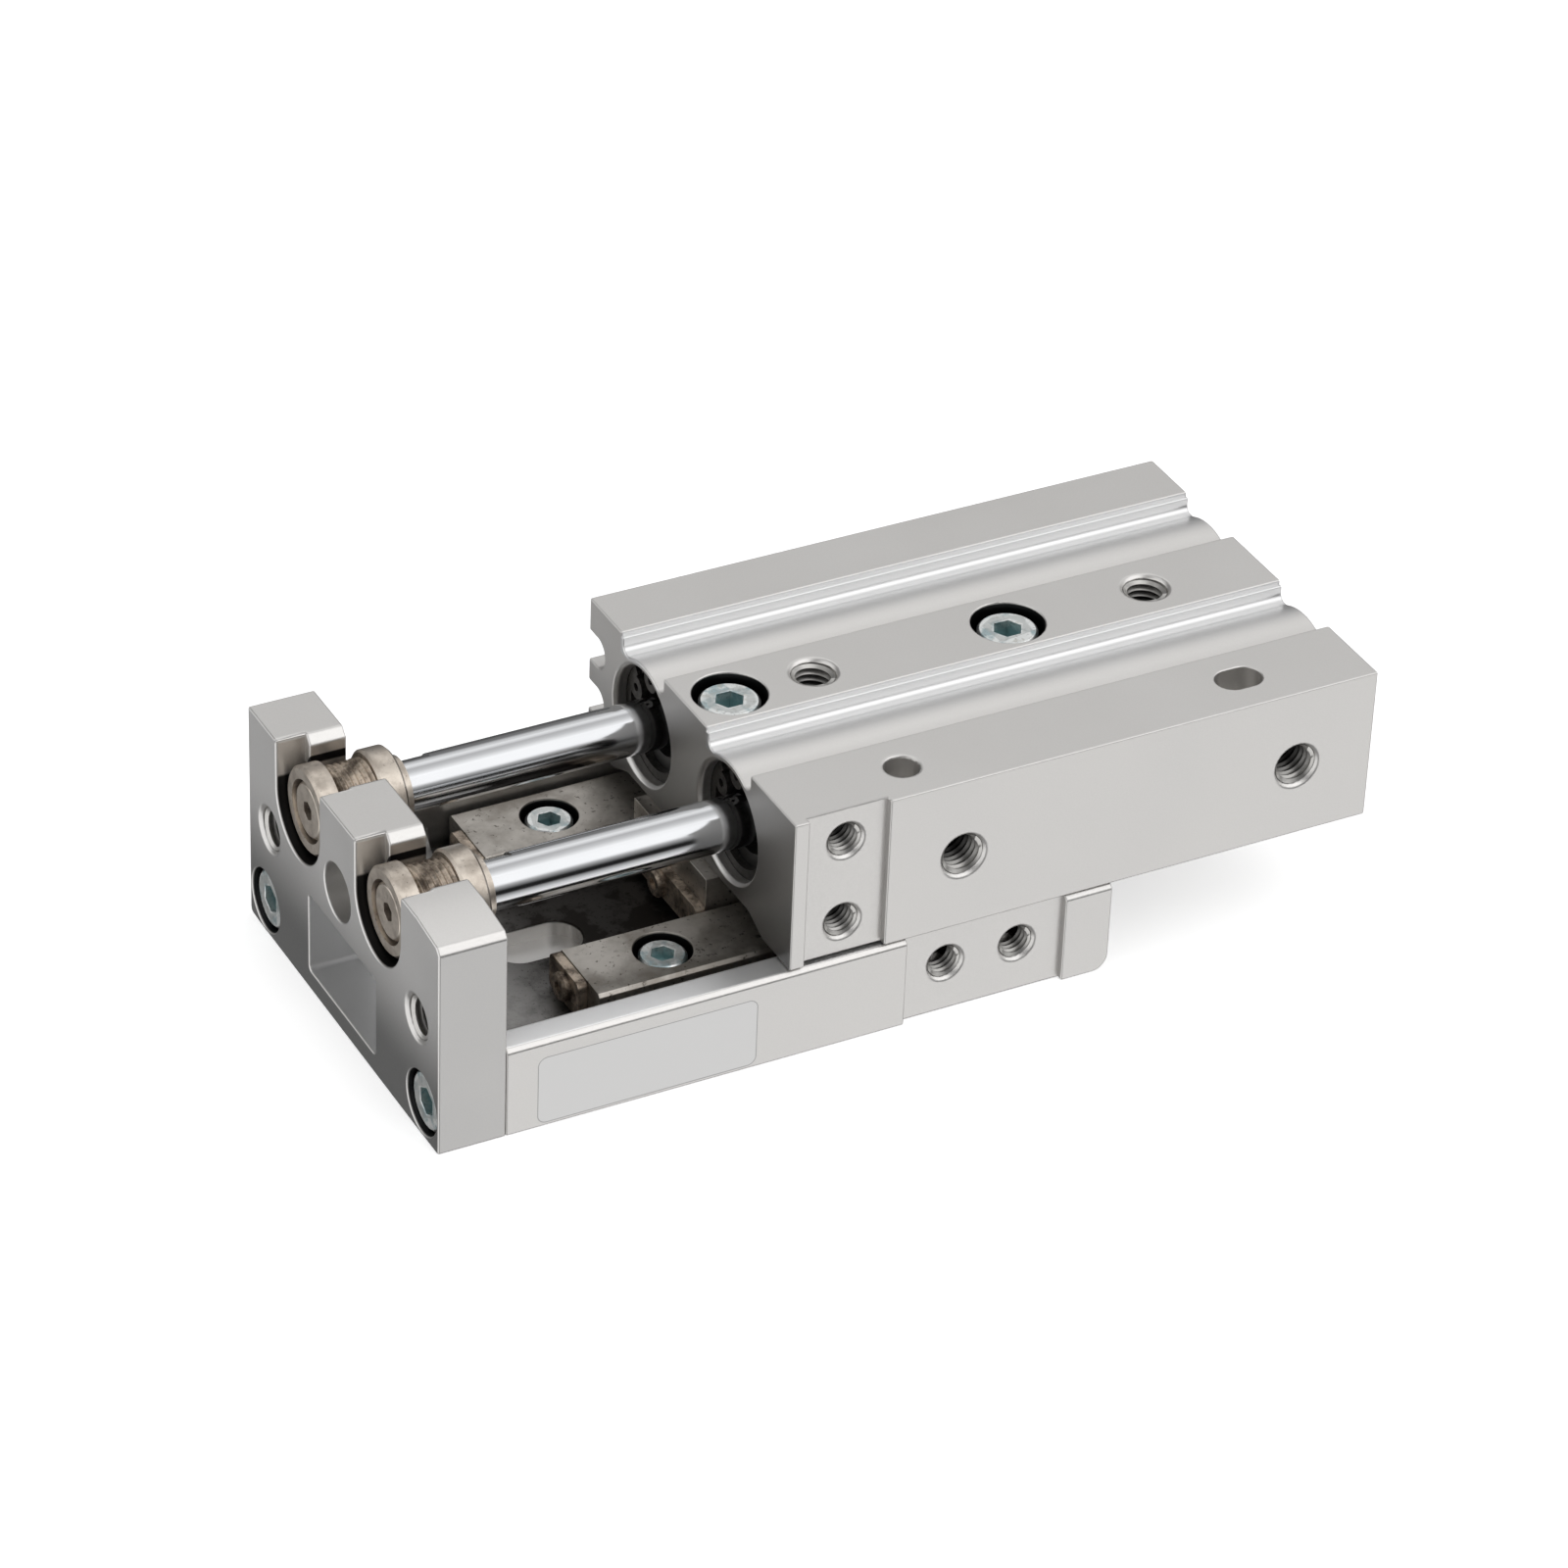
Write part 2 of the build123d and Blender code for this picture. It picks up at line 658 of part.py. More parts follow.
# End plate: open slots hold the floating joints of the rods
with BuildPart() as end_plate:
    with BuildSketch(across(plate_front)):
        with BuildLine():
            Polyline(
                (-half_width, 0),
                (half_width, 0),
                (half_width, plate_height),
                (bevel_width - half_width, plate_height),
                (-half_width, plate_height - bevel_drop),
                close=True,
            )
        make_face()
        for _, rod_y in rod_sides:
            with Locations((rod_y, rod_z)):
                Circle(slot_width / 2, mode=Mode.SUBTRACT)
            with Locations((rod_y, (rod_z + plate_height) / 2)):
                Rectangle(slot_width, plate_height - rod_z, mode=Mode.SUBTRACT)
    extrude(amount=plate_thickness)
    with BuildSketch(across(plate_front)):
        for _, rod_y in rod_sides:
            with Locations((rod_y, rod_z)):
                Circle(disc_pocket_width / 2)
            with Locations((rod_y, (rod_z + plate_height) / 2)):
                Rectangle(disc_pocket_width, plate_height - rod_z)
    extrude(amount=disc_pocket_depth, mode=Mode.SUBTRACT)
    for row, edge_size in ((0, pocket_edge), (-1, slot_edge)):
        top_edges = end_plate.edges().filter_by(Axis.X).group_by(Axis.Z)[-1]
        chamfer(top_edges.group_by(Axis.X)[row], edge_size)
    chamfer(end_plate.edges().filter_by(Axis.X).group_by(Axis.Y)[0].sort_by(Axis.Z)[-1], bevel_edge)
    fillet(end_plate.edges().filter_by(Axis.X).group_by(Axis.Z)[0].sort_by(Axis.Y)[-1], plate_corner)
    with BuildSketch(across(plate_front)):
        with Locations((0, pocket_floor + pocket_height / 2)):
            RectangleRounded(pocket_width, pocket_height, pocket_corner)
    extrude(amount=pocket_depth, mode=Mode.SUBTRACT)
    with Locations(facing(plate_front, mid_y, window_height, (-1, 0, 0))):
        Hole(window_diameter / 2, plate_thickness)
    for direction in (-1, 1):
        with Locations(facing(plate_front, direction * plate_thread_y, plate_thread_height, (-1, 0, 0))):
            CounterSinkHole(m5_thread[0], m5_thread[1], plate_thickness, 90)
        with Locations(facing(plate_front, direction * plate_screw_y, plate_screw_height, (-1, 0, 0))):
            CounterBoreHole(
                m4_screw[2] + screw_clearance,
                plate_counterbore_radius,
                plate_seat_x - plate_front,
                plate_thickness,
            )
keep(end_plate, "end_plate")

plate_seats = [
    facing(plate_seat_x, screw_y, plate_screw_height, (-1, 0, 0))
    for screw_y in (-plate_screw_y, plate_screw_y)
]
keep(socket_screws(plate_seats, m4_screw, plate_screw_length), "end_plate_screws")

# Rails: hardened steel bars with a roller track towards the guide block
for side, rail_y in rail_sides:
    inward = 1 if side == "near" else -1
    with BuildPart() as rail:
        with BuildSketch(across(rail_front)):
            with Locations((rail_y, track_z)):
                Rectangle(rail_width, rail_height)
            with Locations((rail_y + inward * rail_width / 2, track_z)):
                RegularPolygon(track_depth, 4, mode=Mode.SUBTRACT)
        extrude(amount=rail_rear - rail_front)
        chamfer(rail.edges().filter_by(Axis.X).group_by(Axis.Z)[-1], rail_chamfer)
        with Locations(*[(screw_x, rail_y, rail_top) for screw_x in rail_screw_row]):
            CounterBoreHole(
                m3_screw[2] + screw_clearance,
                rail_counterbore_radius,
                rail_top - rail_seat_z,
                rail_height,
            )
        stopper_y = rail_y + inward * (rail_width - stopper_width) / 2
        for end_x, outward in ((rail_front, -1), (rail_rear, 1)):
            with Locations(facing(end_x, stopper_y, track_z, (outward, 0, 0))):
                Hole(stopper_screw[2] + thread_clearance, stopper_screw_length)
    keep(rail, f"rail_{side}")

rail_seats = [
    Plane(origin=(screw_x, rail_y, rail_seat_z)) for _, rail_y in rail_sides for screw_x in rail_screw_row
]
keep(socket_screws(rail_seats, m3_screw, rail_screw_length), "rail_screws")

# Stop plates on the ends of the rails
rail_stopper_seats = []
with BuildPart() as rail_stoppers:
    for side, rail_y in rail_sides:
        inward = 1 if side == "near" else -1
        stopper_y = rail_y + inward * ((rail_width - stopper_width) / 2 + stopper_lap)
        screw_y = rail_y + inward * (rail_width - stopper_width) / 2
        for start_x in (rail_front - stopper_thickness, rail_rear):
            with BuildSketch(across(start_x)):
                with Locations((stopper_y, track_z)):
                    RectangleRounded(stopper_width, rail_height - stopper_drop, stopper_corner)
                with Locations((screw_y, track_z)):
                    Circle(stopper_screw[2] + screw_clearance, mode=Mode.SUBTRACT)
            extrude(amount=stopper_thickness)
        rail_stopper_seats.append(facing(rail_front - stopper_thickness, screw_y, track_z, (-1, 0, 0)))
        rail_stopper_seats.append(facing(rail_rear + stopper_thickness, screw_y, track_z, (1, 0, 0)))
keep(rail_stoppers, "rail_stoppers")
keep(socket_screws(rail_stopper_seats, stopper_screw, stopper_screw_length), "rail_stopper_screws")

# Crossed rollers in their cages, one cage between each rail and the guide block
track_sides = (
    ("near", mid_y - block_width / 2 - guide_gap / 2),
    ("far", mid_y + block_width / 2 + guide_gap / 2),
)
cage_length = (roller_count - 1) * roller_pitch + 2 * cage_margin
window = roller_diameter + 2 * cage_window_slack
for side, track_y in track_sides:
    first_roller_x = body_front + cage_start + cage_margin
    roller_row = [first_roller_x + number * roller_pitch for number in range(roller_count)]
    with BuildPart() as roller_cage:
        with BuildSketch(Plane.XZ.offset(cage_thickness / 2 - track_y)):
            with Locations((body_front + cage_start + cage_length / 2, track_z)):
                Rectangle(cage_length, cage_height)
            with Locations(*[(roller_x, track_z) for roller_x in roller_row]):
                Rectangle(window, 2 * track_reach, mode=Mode.SUBTRACT)
        extrude(amount=-cage_thickness)
    keep(roller_cage, f"roller_cage_{side}")

    with BuildPart() as rollers:
        for number, roller_x in enumerate(roller_row):
            lean = 1 if number % 2 == 0 else -1
            with BuildSketch(Plane(origin=(roller_x, track_y, track_z), z_dir=(0, lean, 1))):
                Circle(roller_diameter / 2)
            extrude(amount=roller_length / 2, both=True)
    keep(rollers, f"rollers_{side}")

# Rods, pistons and the floating joints that hold the rods in the end plate
disc_front = plate_front + disc_inset
disc_end = disc_front + disc_length
collar_front = plate_back + float_gap
collar_end = collar_front + collar_length
joint_end = collar_end + shoulder_length
rod_front = joint_end - rod_seat_depth + rod_end_gap
for side, rod_y in rod_sides:
    with BuildPart() as floating_bushing:
        with BuildSketch(rod_plane(rod_y)):
            with BuildLine():
                Polyline(
                    (disc_front, disc_recess_diameter / 2),
                    (disc_front, disc_diameter / 2 - head_chamfer),
                    (disc_front + head_chamfer, disc_diameter / 2),
                    (disc_end, disc_diameter / 2),
                    (disc_end, sleeve_diameter / 2),
                    (collar_end, sleeve_diameter / 2),
                    (collar_end, shoulder_diameter / 2),
                    (joint_end, shoulder_diameter / 2),
                    (joint_end, rod_diameter / 2 + thread_clearance),
                    (joint_end - rod_seat_depth, rod_diameter / 2 + thread_clearance),
                    (joint_end - rod_seat_depth, joint_screw[2] + thread_clearance),
                    (disc_front + disc_recess_depth, joint_screw[2] + thread_clearance),
                    (disc_front + disc_recess_depth, disc_recess_diameter / 2),
                    close=True,
                )
            make_face()
        revolve(axis=rod_axis(rod_y))
    keep(floating_bushing, f"floating_bushing_{side}")

    with BuildPart() as bushing_collar:
        with BuildSketch(rod_plane(rod_y)):
            with BuildLine():
                Polyline(
                    (collar_front, sleeve_diameter / 2 + thread_clearance),
                    (collar_front, collar_diameter / 2 - head_chamfer),
                    (collar_front + head_chamfer, collar_diameter / 2),
                    (collar_end - head_chamfer, collar_diameter / 2),
                    (collar_end, collar_diameter / 2 - head_chamfer),
                    (collar_end, sleeve_diameter / 2 + thread_clearance),
                    close=True,
                )
            make_face()
        revolve(axis=rod_axis(rod_y))
    keep(bushing_collar, f"bushing_collar_{side}")

    screw_seat = facing(disc_front + disc_recess_depth, rod_y, rod_z, (-1, 0, 0))
    keep(socket_screws([screw_seat], joint_screw, joint_screw_length), f"rod_end_screw_{side}")

    # Rod with a thread hole in each end and two flats for a wrench
    with BuildPart() as piston_rod:
        with BuildSketch(across(rod_front)):
            with Locations((rod_y, rod_z)):
                Circle(rod_diameter / 2)
        extrude(amount=piston_front + piston_seat_depth - rod_front)
        with Locations(facing(rod_front, rod_y, rod_z, (-1, 0, 0))):
            Hole(joint_screw[2] + thread_clearance, joint_screw_length)
        with Locations(facing(piston_front + piston_seat_depth, rod_y, rod_z, (1, 0, 0))):
            Hole(m3_low_screw[2] + thread_clearance, piston_screw_length)
        with BuildSketch(across(plate_back + rod_flat_start)):
            with Locations(Location((rod_y, rod_z), rod_flat_heading)):
                with Locations((0, rod_flat_across), (0, -rod_flat_across)):
                    Rectangle(2 * rod_diameter, rod_flat_across)
        extrude(amount=rod_flat_length, mode=Mode.SUBTRACT)
    keep(piston_rod, f"piston_rod_{side}")

    with BuildPart() as piston:
        skirt = bore_diameter / 2 - piston_clearance
        seal_floor = bore_diameter / 2 - piston_seal_height
        magnet_floor = bore_diameter / 2 - magnet_height
        seal_x = piston_front + piston_seal_inset
        magnet_x = piston_front + magnet_inset
        recess_x = piston_rear - piston_recess_depth
        with BuildSketch(rod_plane(rod_y)):
            with BuildLine():
                Polyline(
                    (piston_front, rod_diameter / 2 + thread_clearance),
                    (piston_front, skirt - head_chamfer),
                    (piston_front + head_chamfer, skirt),
                    (seal_x, skirt),
                    (seal_x, seal_floor),
                    (seal_x + piston_seal_width, seal_floor),
                    (seal_x + piston_seal_width, skirt),
                    (magnet_x, skirt),
                    (magnet_x, magnet_floor),
                    (magnet_x + magnet_width, magnet_floor),
                    (magnet_x + magnet_width, skirt),
                    (piston_rear - head_chamfer, skirt),
                    (piston_rear, skirt - head_chamfer),
                    (piston_rear, piston_recess_diameter / 2),
                    (recess_x, piston_recess_diameter / 2),
                    (recess_x, m3_low_screw[2] + thread_clearance),
                    (piston_front + piston_seat_depth, m3_low_screw[2] + thread_clearance),
                    (piston_front + piston_seat_depth, rod_diameter / 2 + thread_clearance),
                    close=True,
                )
            make_face()
        revolve(axis=rod_axis(rod_y))
    keep(piston, f"piston_{side}")

    with BuildPart() as piston_seal:
        with BuildSketch(rod_plane(rod_y)):
            with Locations((seal_x + piston_seal_width / 2, (seal_floor + bore_diameter / 2) / 2)):
                Rectangle(piston_seal_width - 2 * ring_slack, piston_seal_height - 2 * ring_slack)
        revolve(axis=rod_axis(rod_y))
    keep(piston_seal, f"piston_seal_{side}")

# Ring magnets that work the switches, and the screws that hold the pistons
with BuildPart() as piston_magnets:
    magnet_inside = magnet_floor + ring_slack
    magnet_outside = bore_diameter / 2 - magnet_drop
    for _, rod_y in rod_sides:
        with BuildSketch(rod_plane(rod_y)):
            with Locations((magnet_x + magnet_width / 2, (magnet_inside + magnet_outside) / 2)):
                Rectangle(magnet_width - 2 * ring_slack, magnet_outside - magnet_inside)
        revolve(axis=rod_axis(rod_y))
keep(piston_magnets, "piston_magnets")

piston_screw_seats = [facing(recess_x, rod_y, rod_z, (1, 0, 0)) for _, rod_y in rod_sides]
keep(socket_screws(piston_screw_seats, m3_low_screw, piston_screw_length), "piston_screws")
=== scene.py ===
import json
import math

import bmesh
import bpy
import numpy as np
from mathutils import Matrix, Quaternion, Vector


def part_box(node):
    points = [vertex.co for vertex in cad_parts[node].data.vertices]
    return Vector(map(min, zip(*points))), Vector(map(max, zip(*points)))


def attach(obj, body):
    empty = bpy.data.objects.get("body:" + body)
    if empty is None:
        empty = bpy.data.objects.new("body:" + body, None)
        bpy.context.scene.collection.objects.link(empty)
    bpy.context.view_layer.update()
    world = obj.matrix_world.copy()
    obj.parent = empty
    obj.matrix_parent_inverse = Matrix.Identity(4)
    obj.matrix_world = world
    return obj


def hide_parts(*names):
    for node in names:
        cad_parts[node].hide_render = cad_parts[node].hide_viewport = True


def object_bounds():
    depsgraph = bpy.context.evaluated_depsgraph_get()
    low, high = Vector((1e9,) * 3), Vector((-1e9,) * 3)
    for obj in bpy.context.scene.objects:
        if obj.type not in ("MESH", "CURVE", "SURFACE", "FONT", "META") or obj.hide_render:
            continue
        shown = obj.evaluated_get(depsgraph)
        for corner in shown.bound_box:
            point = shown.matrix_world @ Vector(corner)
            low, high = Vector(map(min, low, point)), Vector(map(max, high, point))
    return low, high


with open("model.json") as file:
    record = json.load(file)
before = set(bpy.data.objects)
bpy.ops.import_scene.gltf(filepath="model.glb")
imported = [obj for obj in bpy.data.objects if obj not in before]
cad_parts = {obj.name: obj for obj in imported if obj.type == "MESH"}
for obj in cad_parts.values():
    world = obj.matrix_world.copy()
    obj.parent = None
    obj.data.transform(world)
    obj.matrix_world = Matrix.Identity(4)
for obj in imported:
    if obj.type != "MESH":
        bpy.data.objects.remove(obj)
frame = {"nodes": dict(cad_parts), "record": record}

mm = 0.001
cadLow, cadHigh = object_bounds()
record = frame["record"]
bodyOf = {node: body for body, members in record["behaviour"]["bodies"].items() for node in members}
slotOf = {entry["node"]: entry["material_slot"] for entry in record["subparts"]}
mountOf = {mount["name"]: mount for mount in record["mounts"]}
print("frame loaded:", len(bodyOf), "nodes")


class Signal:
    # one output socket that takes part in Python expressions: each operator adds a Math node
    def __init__(self, paint, socket):
        self.paint = paint
        self.socket = socket

    def math(self, operation, *values):
        # works on the values given, of which this signal is usually one
        return self.paint.add("ShaderNodeMath", {"operation": operation}, dict(enumerate(values)))

    def __add__(self, other):
        return self.math("ADD", self, other)

    def __sub__(self, other):
        return self.math("SUBTRACT", self, other)

    def __rsub__(self, other):
        return self.math("SUBTRACT", other, self)

    def __mul__(self, other):
        return self.math("MULTIPLY", self, other)

    def __truediv__(self, other):
        return self.math("DIVIDE", self, other)

    def __pow__(self, other):
        return self.math("POWER", self, other)

    __radd__ = __add__
    __rmul__ = __mul__

    def size(self):
        return self.math("ABSOLUTE", self)

    def atLeast(self, least):
        return self.math("MAXIMUM", self, least)

    def wrap(self, span):
        return self.math("FLOORED_MODULO", self, span)

    def wave(self, pitch):
        return self.math("SINE", self * (2 * math.pi / pitch))

    def ramp(self, low, high):
        # 0 below low, 1 above high, smooth between them
        settings = {"interpolation_type": "SMOOTHSTEP"}
        inputs = {"Value": self, "From Min": low, "From Max": high}
        return self.paint.add("ShaderNodeMapRange", settings, inputs)

    def fade(self, low, high):
        # 1 below low, 0 above high
        return 1.0 - self.ramp(low, high)


class Paint:
    # a node tree, and the few calls that every finish is written with
    def __init__(self, owner):
        self.owner = owner
        owner.use_nodes = True
        self.tree = owner.node_tree
        self.tree.nodes.clear()

    def add(self, kind, settings=None, inputs=None, output=0):
        node = self.tree.nodes.new(kind)
        for name, value in (settings or {}).items():
            if name == "stops":
                ramp = node.color_ramp
                while len(ramp.elements) < len(value):
                    ramp.elements.new(1.0)
                for element, (position, colour) in zip(ramp.elements, value):
                    element.position = position
                    element.color = colour
            else:
                setattr(node, name, value)
        for name, value in (inputs or {}).items():
            if isinstance(value, Signal):
                self.tree.links.new(value.socket, node.inputs[name])
            else:
                node.inputs[name].default_value = value
        return Signal(self, node.outputs[output] if len(node.outputs) else None)

    def place(self, stretch=(1, 1, 1)):
        spot = self.add("ShaderNodeTexCoord", output="Object")
        return self.add("ShaderNodeMapping", {}, {"Vector": spot, "Scale": stretch})

    def along(self, vector):
        # the three parts of a vector
        spread = self.add("ShaderNodeSeparateXYZ", {}, {"Vector": vector})
        return [Signal(self, socket) for socket in spread.socket.node.outputs]

    def noise(self, scale, detail=3.0, rough=0.55, stretch=(1, 1, 1)):
        inputs = {"Vector": self.place(stretch), "Scale": scale, "Detail": detail, "Roughness": rough}
        return self.add("ShaderNodeTexNoise", {}, inputs)

    def mix(self, factor, first, second):
        return self.add("ShaderNodeMix", {"data_type": "RGBA"}, {0: factor, 6: first, 7: second}, output=2)

    def bump(self, height, depth):
        inputs = {"Height": height, "Distance": depth, "Strength": 1.0}
        return self.add("ShaderNodeBump", {}, inputs, "Normal")

    def surface(self, inputs):
        shader = self.add("ShaderNodeBsdfPrincipled", {}, inputs)
        self.add("ShaderNodeOutputMaterial", {}, {"Surface": shader})
        return self.owner


def grey(value, warmth=0.0):
    return (value * (1 + warmth), value, value * (1 - 1.3 * warmth), 1.0)


def newPaint(name):
    return Paint(bpy.data.materials.new(name))


# Satin anodised aluminium of the body, the table and the end plate
satin = {
    "light": grey(0.72, 0.016),
    "dark": grey(0.65, 0.024),
    "cloudScale": 55.0,
    "grainScale": 5200.0,
    "grainColour": grey(0.30),
    "grainShare": 0.10,
    "grainDepth": 0.006 * mm,
    "roughness": 0.37,
    "cloudRoughness": 0.10,
    "grainRoughness": 0.16,
    "metallic": 0.95,
}


def satinAluminium(name, extras):
    paint = newPaint(name)
    cloud = paint.noise(satin["cloudScale"], 4.0)
    grain = paint.noise(satin["grainScale"], 2.0, 0.6)
    colour = paint.mix(cloud, satin["dark"], satin["light"])
    colour = paint.mix((grain - 0.5) * satin["grainShare"] + 0.06, colour, satin["grainColour"])
    roughness = satin["roughness"] + (cloud - 0.5) * satin["cloudRoughness"]
    roughness = roughness + (grain - 0.5) * satin["grainRoughness"]
    colour, roughness = extras(paint, colour, roughness)
    return paint.surface({
        "Base Color": colour,
        "Roughness": roughness,
        "Metallic": satin["metallic"],
        "Normal": paint.bump(grain, satin["grainDepth"]),
    })


# The middle line between the two rods, and each rod's distance from it
midY = 1.1 * mm
rodOffset = 10.5 * mm
# Blank label on the table's near wall, drawn as a paler, smoother film
label = {
    "left": -45.6 * mm,
    "right": -19.4 * mm,
    "low": 0.5 * mm,
    "high": 9.0 * mm,
    "corner": 1.0 * mm,
    "line": 0.10 * mm,
    "film": grey(0.60, 0.004),
    "rim": grey(0.30),
    "share": 0.9,
    "roughness": 0.30,
}
# Oil and grinding dust in the table's channel, under painted shade that deepens towards the body, where
# the body and the rods cast their shadow
grimeAndShade = {
    "colour": (0.022, 0.019, 0.017, 1.0),
    "roughness": 0.12,
    "patchScale": 260.0,
    "speckScale": 2400.0,
    "thin": 0.42,
    "shaded": 0.53,
    "patches": 0.14,
    "specks": 0.12,
    "shadeStart": -45.0 * mm,
    "shadeEnd": -32.0 * mm,
    "floor": 4.6 * mm,
    "top": 5.6 * mm,
    "halfWidth": 20.9 * mm,
}
# The tops of the table's side walls, painted brighter as a highlight
wallTopHighlight = {"level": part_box("slide_table")[1].z, "share": 0.95, "colour": grey(0.97)}


def tableExtras(paint, colour, roughness):
    x, y, z = paint.along(paint.place())
    # distance past the label's rounded outline, negative inside it
    halfLength = (label["right"] - label["left"]) / 2 - label["corner"]
    halfHeight = (label["high"] - label["low"]) / 2 - label["corner"]
    overX = ((x - (label["right"] + label["left"]) / 2).size() - halfLength).atLeast(0.0)
    overZ = ((z - (label["high"] + label["low"]) / 2).size() - halfHeight).atLeast(0.0)
    past = (overX * overX + overZ * overZ) ** 0.5 - label["corner"]
    onWall = y.fade(cadLow.y + 0.01 * mm, cadLow.y + 0.05 * mm)
    film = past.fade(-0.02 * mm, 0.02 * mm) * onWall
    rim = past.fade(label["line"] * 0.5, label["line"] * 1.5) * onWall - film
    colour = paint.mix(rim * label["share"], colour, label["rim"])
    colour = paint.mix(film * label["share"], colour, label["film"])
    roughness = roughness * (1.0 - film) + film * label["roughness"]
    # dirt and painted shade on the channel's floor: patches and specks of oil and dust, over a base
    # darkening that is partly painted shade, and a painted shadow that deepens towards the body
    low = z.fade(grimeAndShade["top"], grimeAndShade["top"] + 1.5 * mm)
    inChannel = y.size().fade(grimeAndShade["halfWidth"], grimeAndShade["halfWidth"] + 0.5 * mm)
    above = z.ramp(grimeAndShade["floor"], grimeAndShade["floor"] + 0.3 * mm)
    # painted shadow of the body and the rods, darkest towards the body
    shaded = x.ramp(grimeAndShade["shadeStart"], grimeAndShade["shadeEnd"])
    patches = paint.noise(grimeAndShade["patchScale"], 5.0, 0.65).ramp(0.46, 0.70)
    specks = paint.noise(grimeAndShade["speckScale"], 2.0).ramp(0.62, 0.68)
    dirtAndShade = grimeAndShade["thin"] + shaded * grimeAndShade["shaded"] + patches * grimeAndShade["patches"] + specks * grimeAndShade["specks"]
    dirtAndShade = dirtAndShade * low * inChannel * above
    # painted highlight along the tops of the side walls
    wallHighlight = z.ramp(wallTopHighlight["level"] - 0.06 * mm, wallTopHighlight["level"] - 0.02 * mm)
    colour = paint.mix(wallHighlight * wallTopHighlight["share"], colour, wallTopHighlight["colour"])
    return paint.mix(dirtAndShade, colour, grimeAndShade["colour"]), roughness + dirtAndShade * grimeAndShade["roughness"]


# Painted shade: the walls of counterbores, and the gaps round the joints' discs, are painted near black
paintedBoreShade = {"colour": (0.02, 0.02, 0.021, 1.0), "inside": 0.50 * mm, "outside": 0.20 * mm}


def boreShade(first, second, radius, depth):
    # 1 on the wall of a counterbore; first and second lead out from its middle
    away = (first * first + second * second) ** 0.5
    inner = radius - paintedBoreShade["inside"]
    outer = radius + paintedBoreShade["outside"]
    wall = away.ramp(inner, inner + 0.15 * mm) * away.fade(outer - 0.10 * mm, outer)
    return wall * depth.ramp(0.10 * mm, 0.30 * mm)


# Body: painted shade in two counterbores on the centre land, a painted highlight on the far side of each
# groove, and a front painted darker as shade towards its foot
bodyMarks = {
    "screwMiddle": 7.3 * mm,
    "screwOffset": 17.5 * mm,
    "screwRadius": 4.25 * mm,
    "grooveStart": -1.5 * mm,
    "grooveFull": 2.5 * mm,
    "grooveEnd": 5.50 * mm,
    "grooveDepth": 2.5 * mm,
    "farthestOut": (18.0 * mm, 19.0 * mm),
    "groove": grey(0.76),
    "dullLow": 8.0 * mm,
    "dullHigh": 29.0 * mm,
    "dull": grey(0.14),
    "dullShare": 0.9,
}
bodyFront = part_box("cylinder_body")[0].x


def bodyExtras(paint, colour, roughness):
    x, y, z = paint.along(paint.place())
    depth = cadHigh.z - z
    along = (x - bodyMarks["screwMiddle"]).size() - bodyMarks["screwOffset"]
    shade = boreShade(along, y - midY, bodyMarks["screwRadius"], depth)
    # offset is measured from the nearer rod's axis
    offset = (y + (2 * rodOffset - midY)).wrap(2 * rodOffset) - rodOffset
    # painted highlight on the far side of each groove
    groove = offset.ramp(bodyMarks["grooveStart"], bodyMarks["grooveFull"])
    groove = groove * offset.fade(bodyMarks["grooveEnd"], bodyMarks["grooveEnd"] + 0.08 * mm)
    groove = groove * y.size().fade(*bodyMarks["farthestOut"])
    below = depth.ramp(0.03 * mm, 0.12 * mm)
    below = below * depth.fade(bodyMarks["grooveDepth"], bodyMarks["grooveDepth"] + 0.2 * mm)
    colour = paint.mix(groove * below, colour, bodyMarks["groove"])
    # painted shade on the front, darkest at its foot
    front = x.fade(bodyFront + 0.02 * mm, bodyFront + 0.08 * mm)
    dull = front * z.fade(bodyMarks["dullLow"], bodyMarks["dullHigh"]) * bodyMarks["dullShare"]
    colour = paint.mix(dull, colour, bodyMarks["dull"])
    return paint.mix(shade, colour, paintedBoreShade["colour"]), roughness


# End plate: a near side painted darker as shade, a front painted darker as shade towards its foot and
# lighter as a highlight higher up, painted shade in counterbores and disc gaps, and a pocket painted
# brighter as light reaching into it
plateMarks = {
    "side": grey(0.36),
    "sideShare": 0.45,
    "foot": grey(0.15),
    "footShare": 0.85,
    "top": grey(0.95),
    "topShare": 0.35,
    "liftLow": 5.0 * mm,
    "liftHigh": 21.0 * mm,
    # counterbores and disc recesses: distance from the middle, height and radius
    "screw": (20.7 * mm, 4.1 * mm, 3.8 * mm),
    "disc": (rodOffset, 21.4 * mm, 5.8 * mm),
    "pocket": grey(0.72),
    "pocketDepth": 5.9 * mm,
    "pocketHalfWidth": 8.9 * mm,
    "pocketLow": 2.1 * mm,
    "pocketHigh": 12.7 * mm,
}


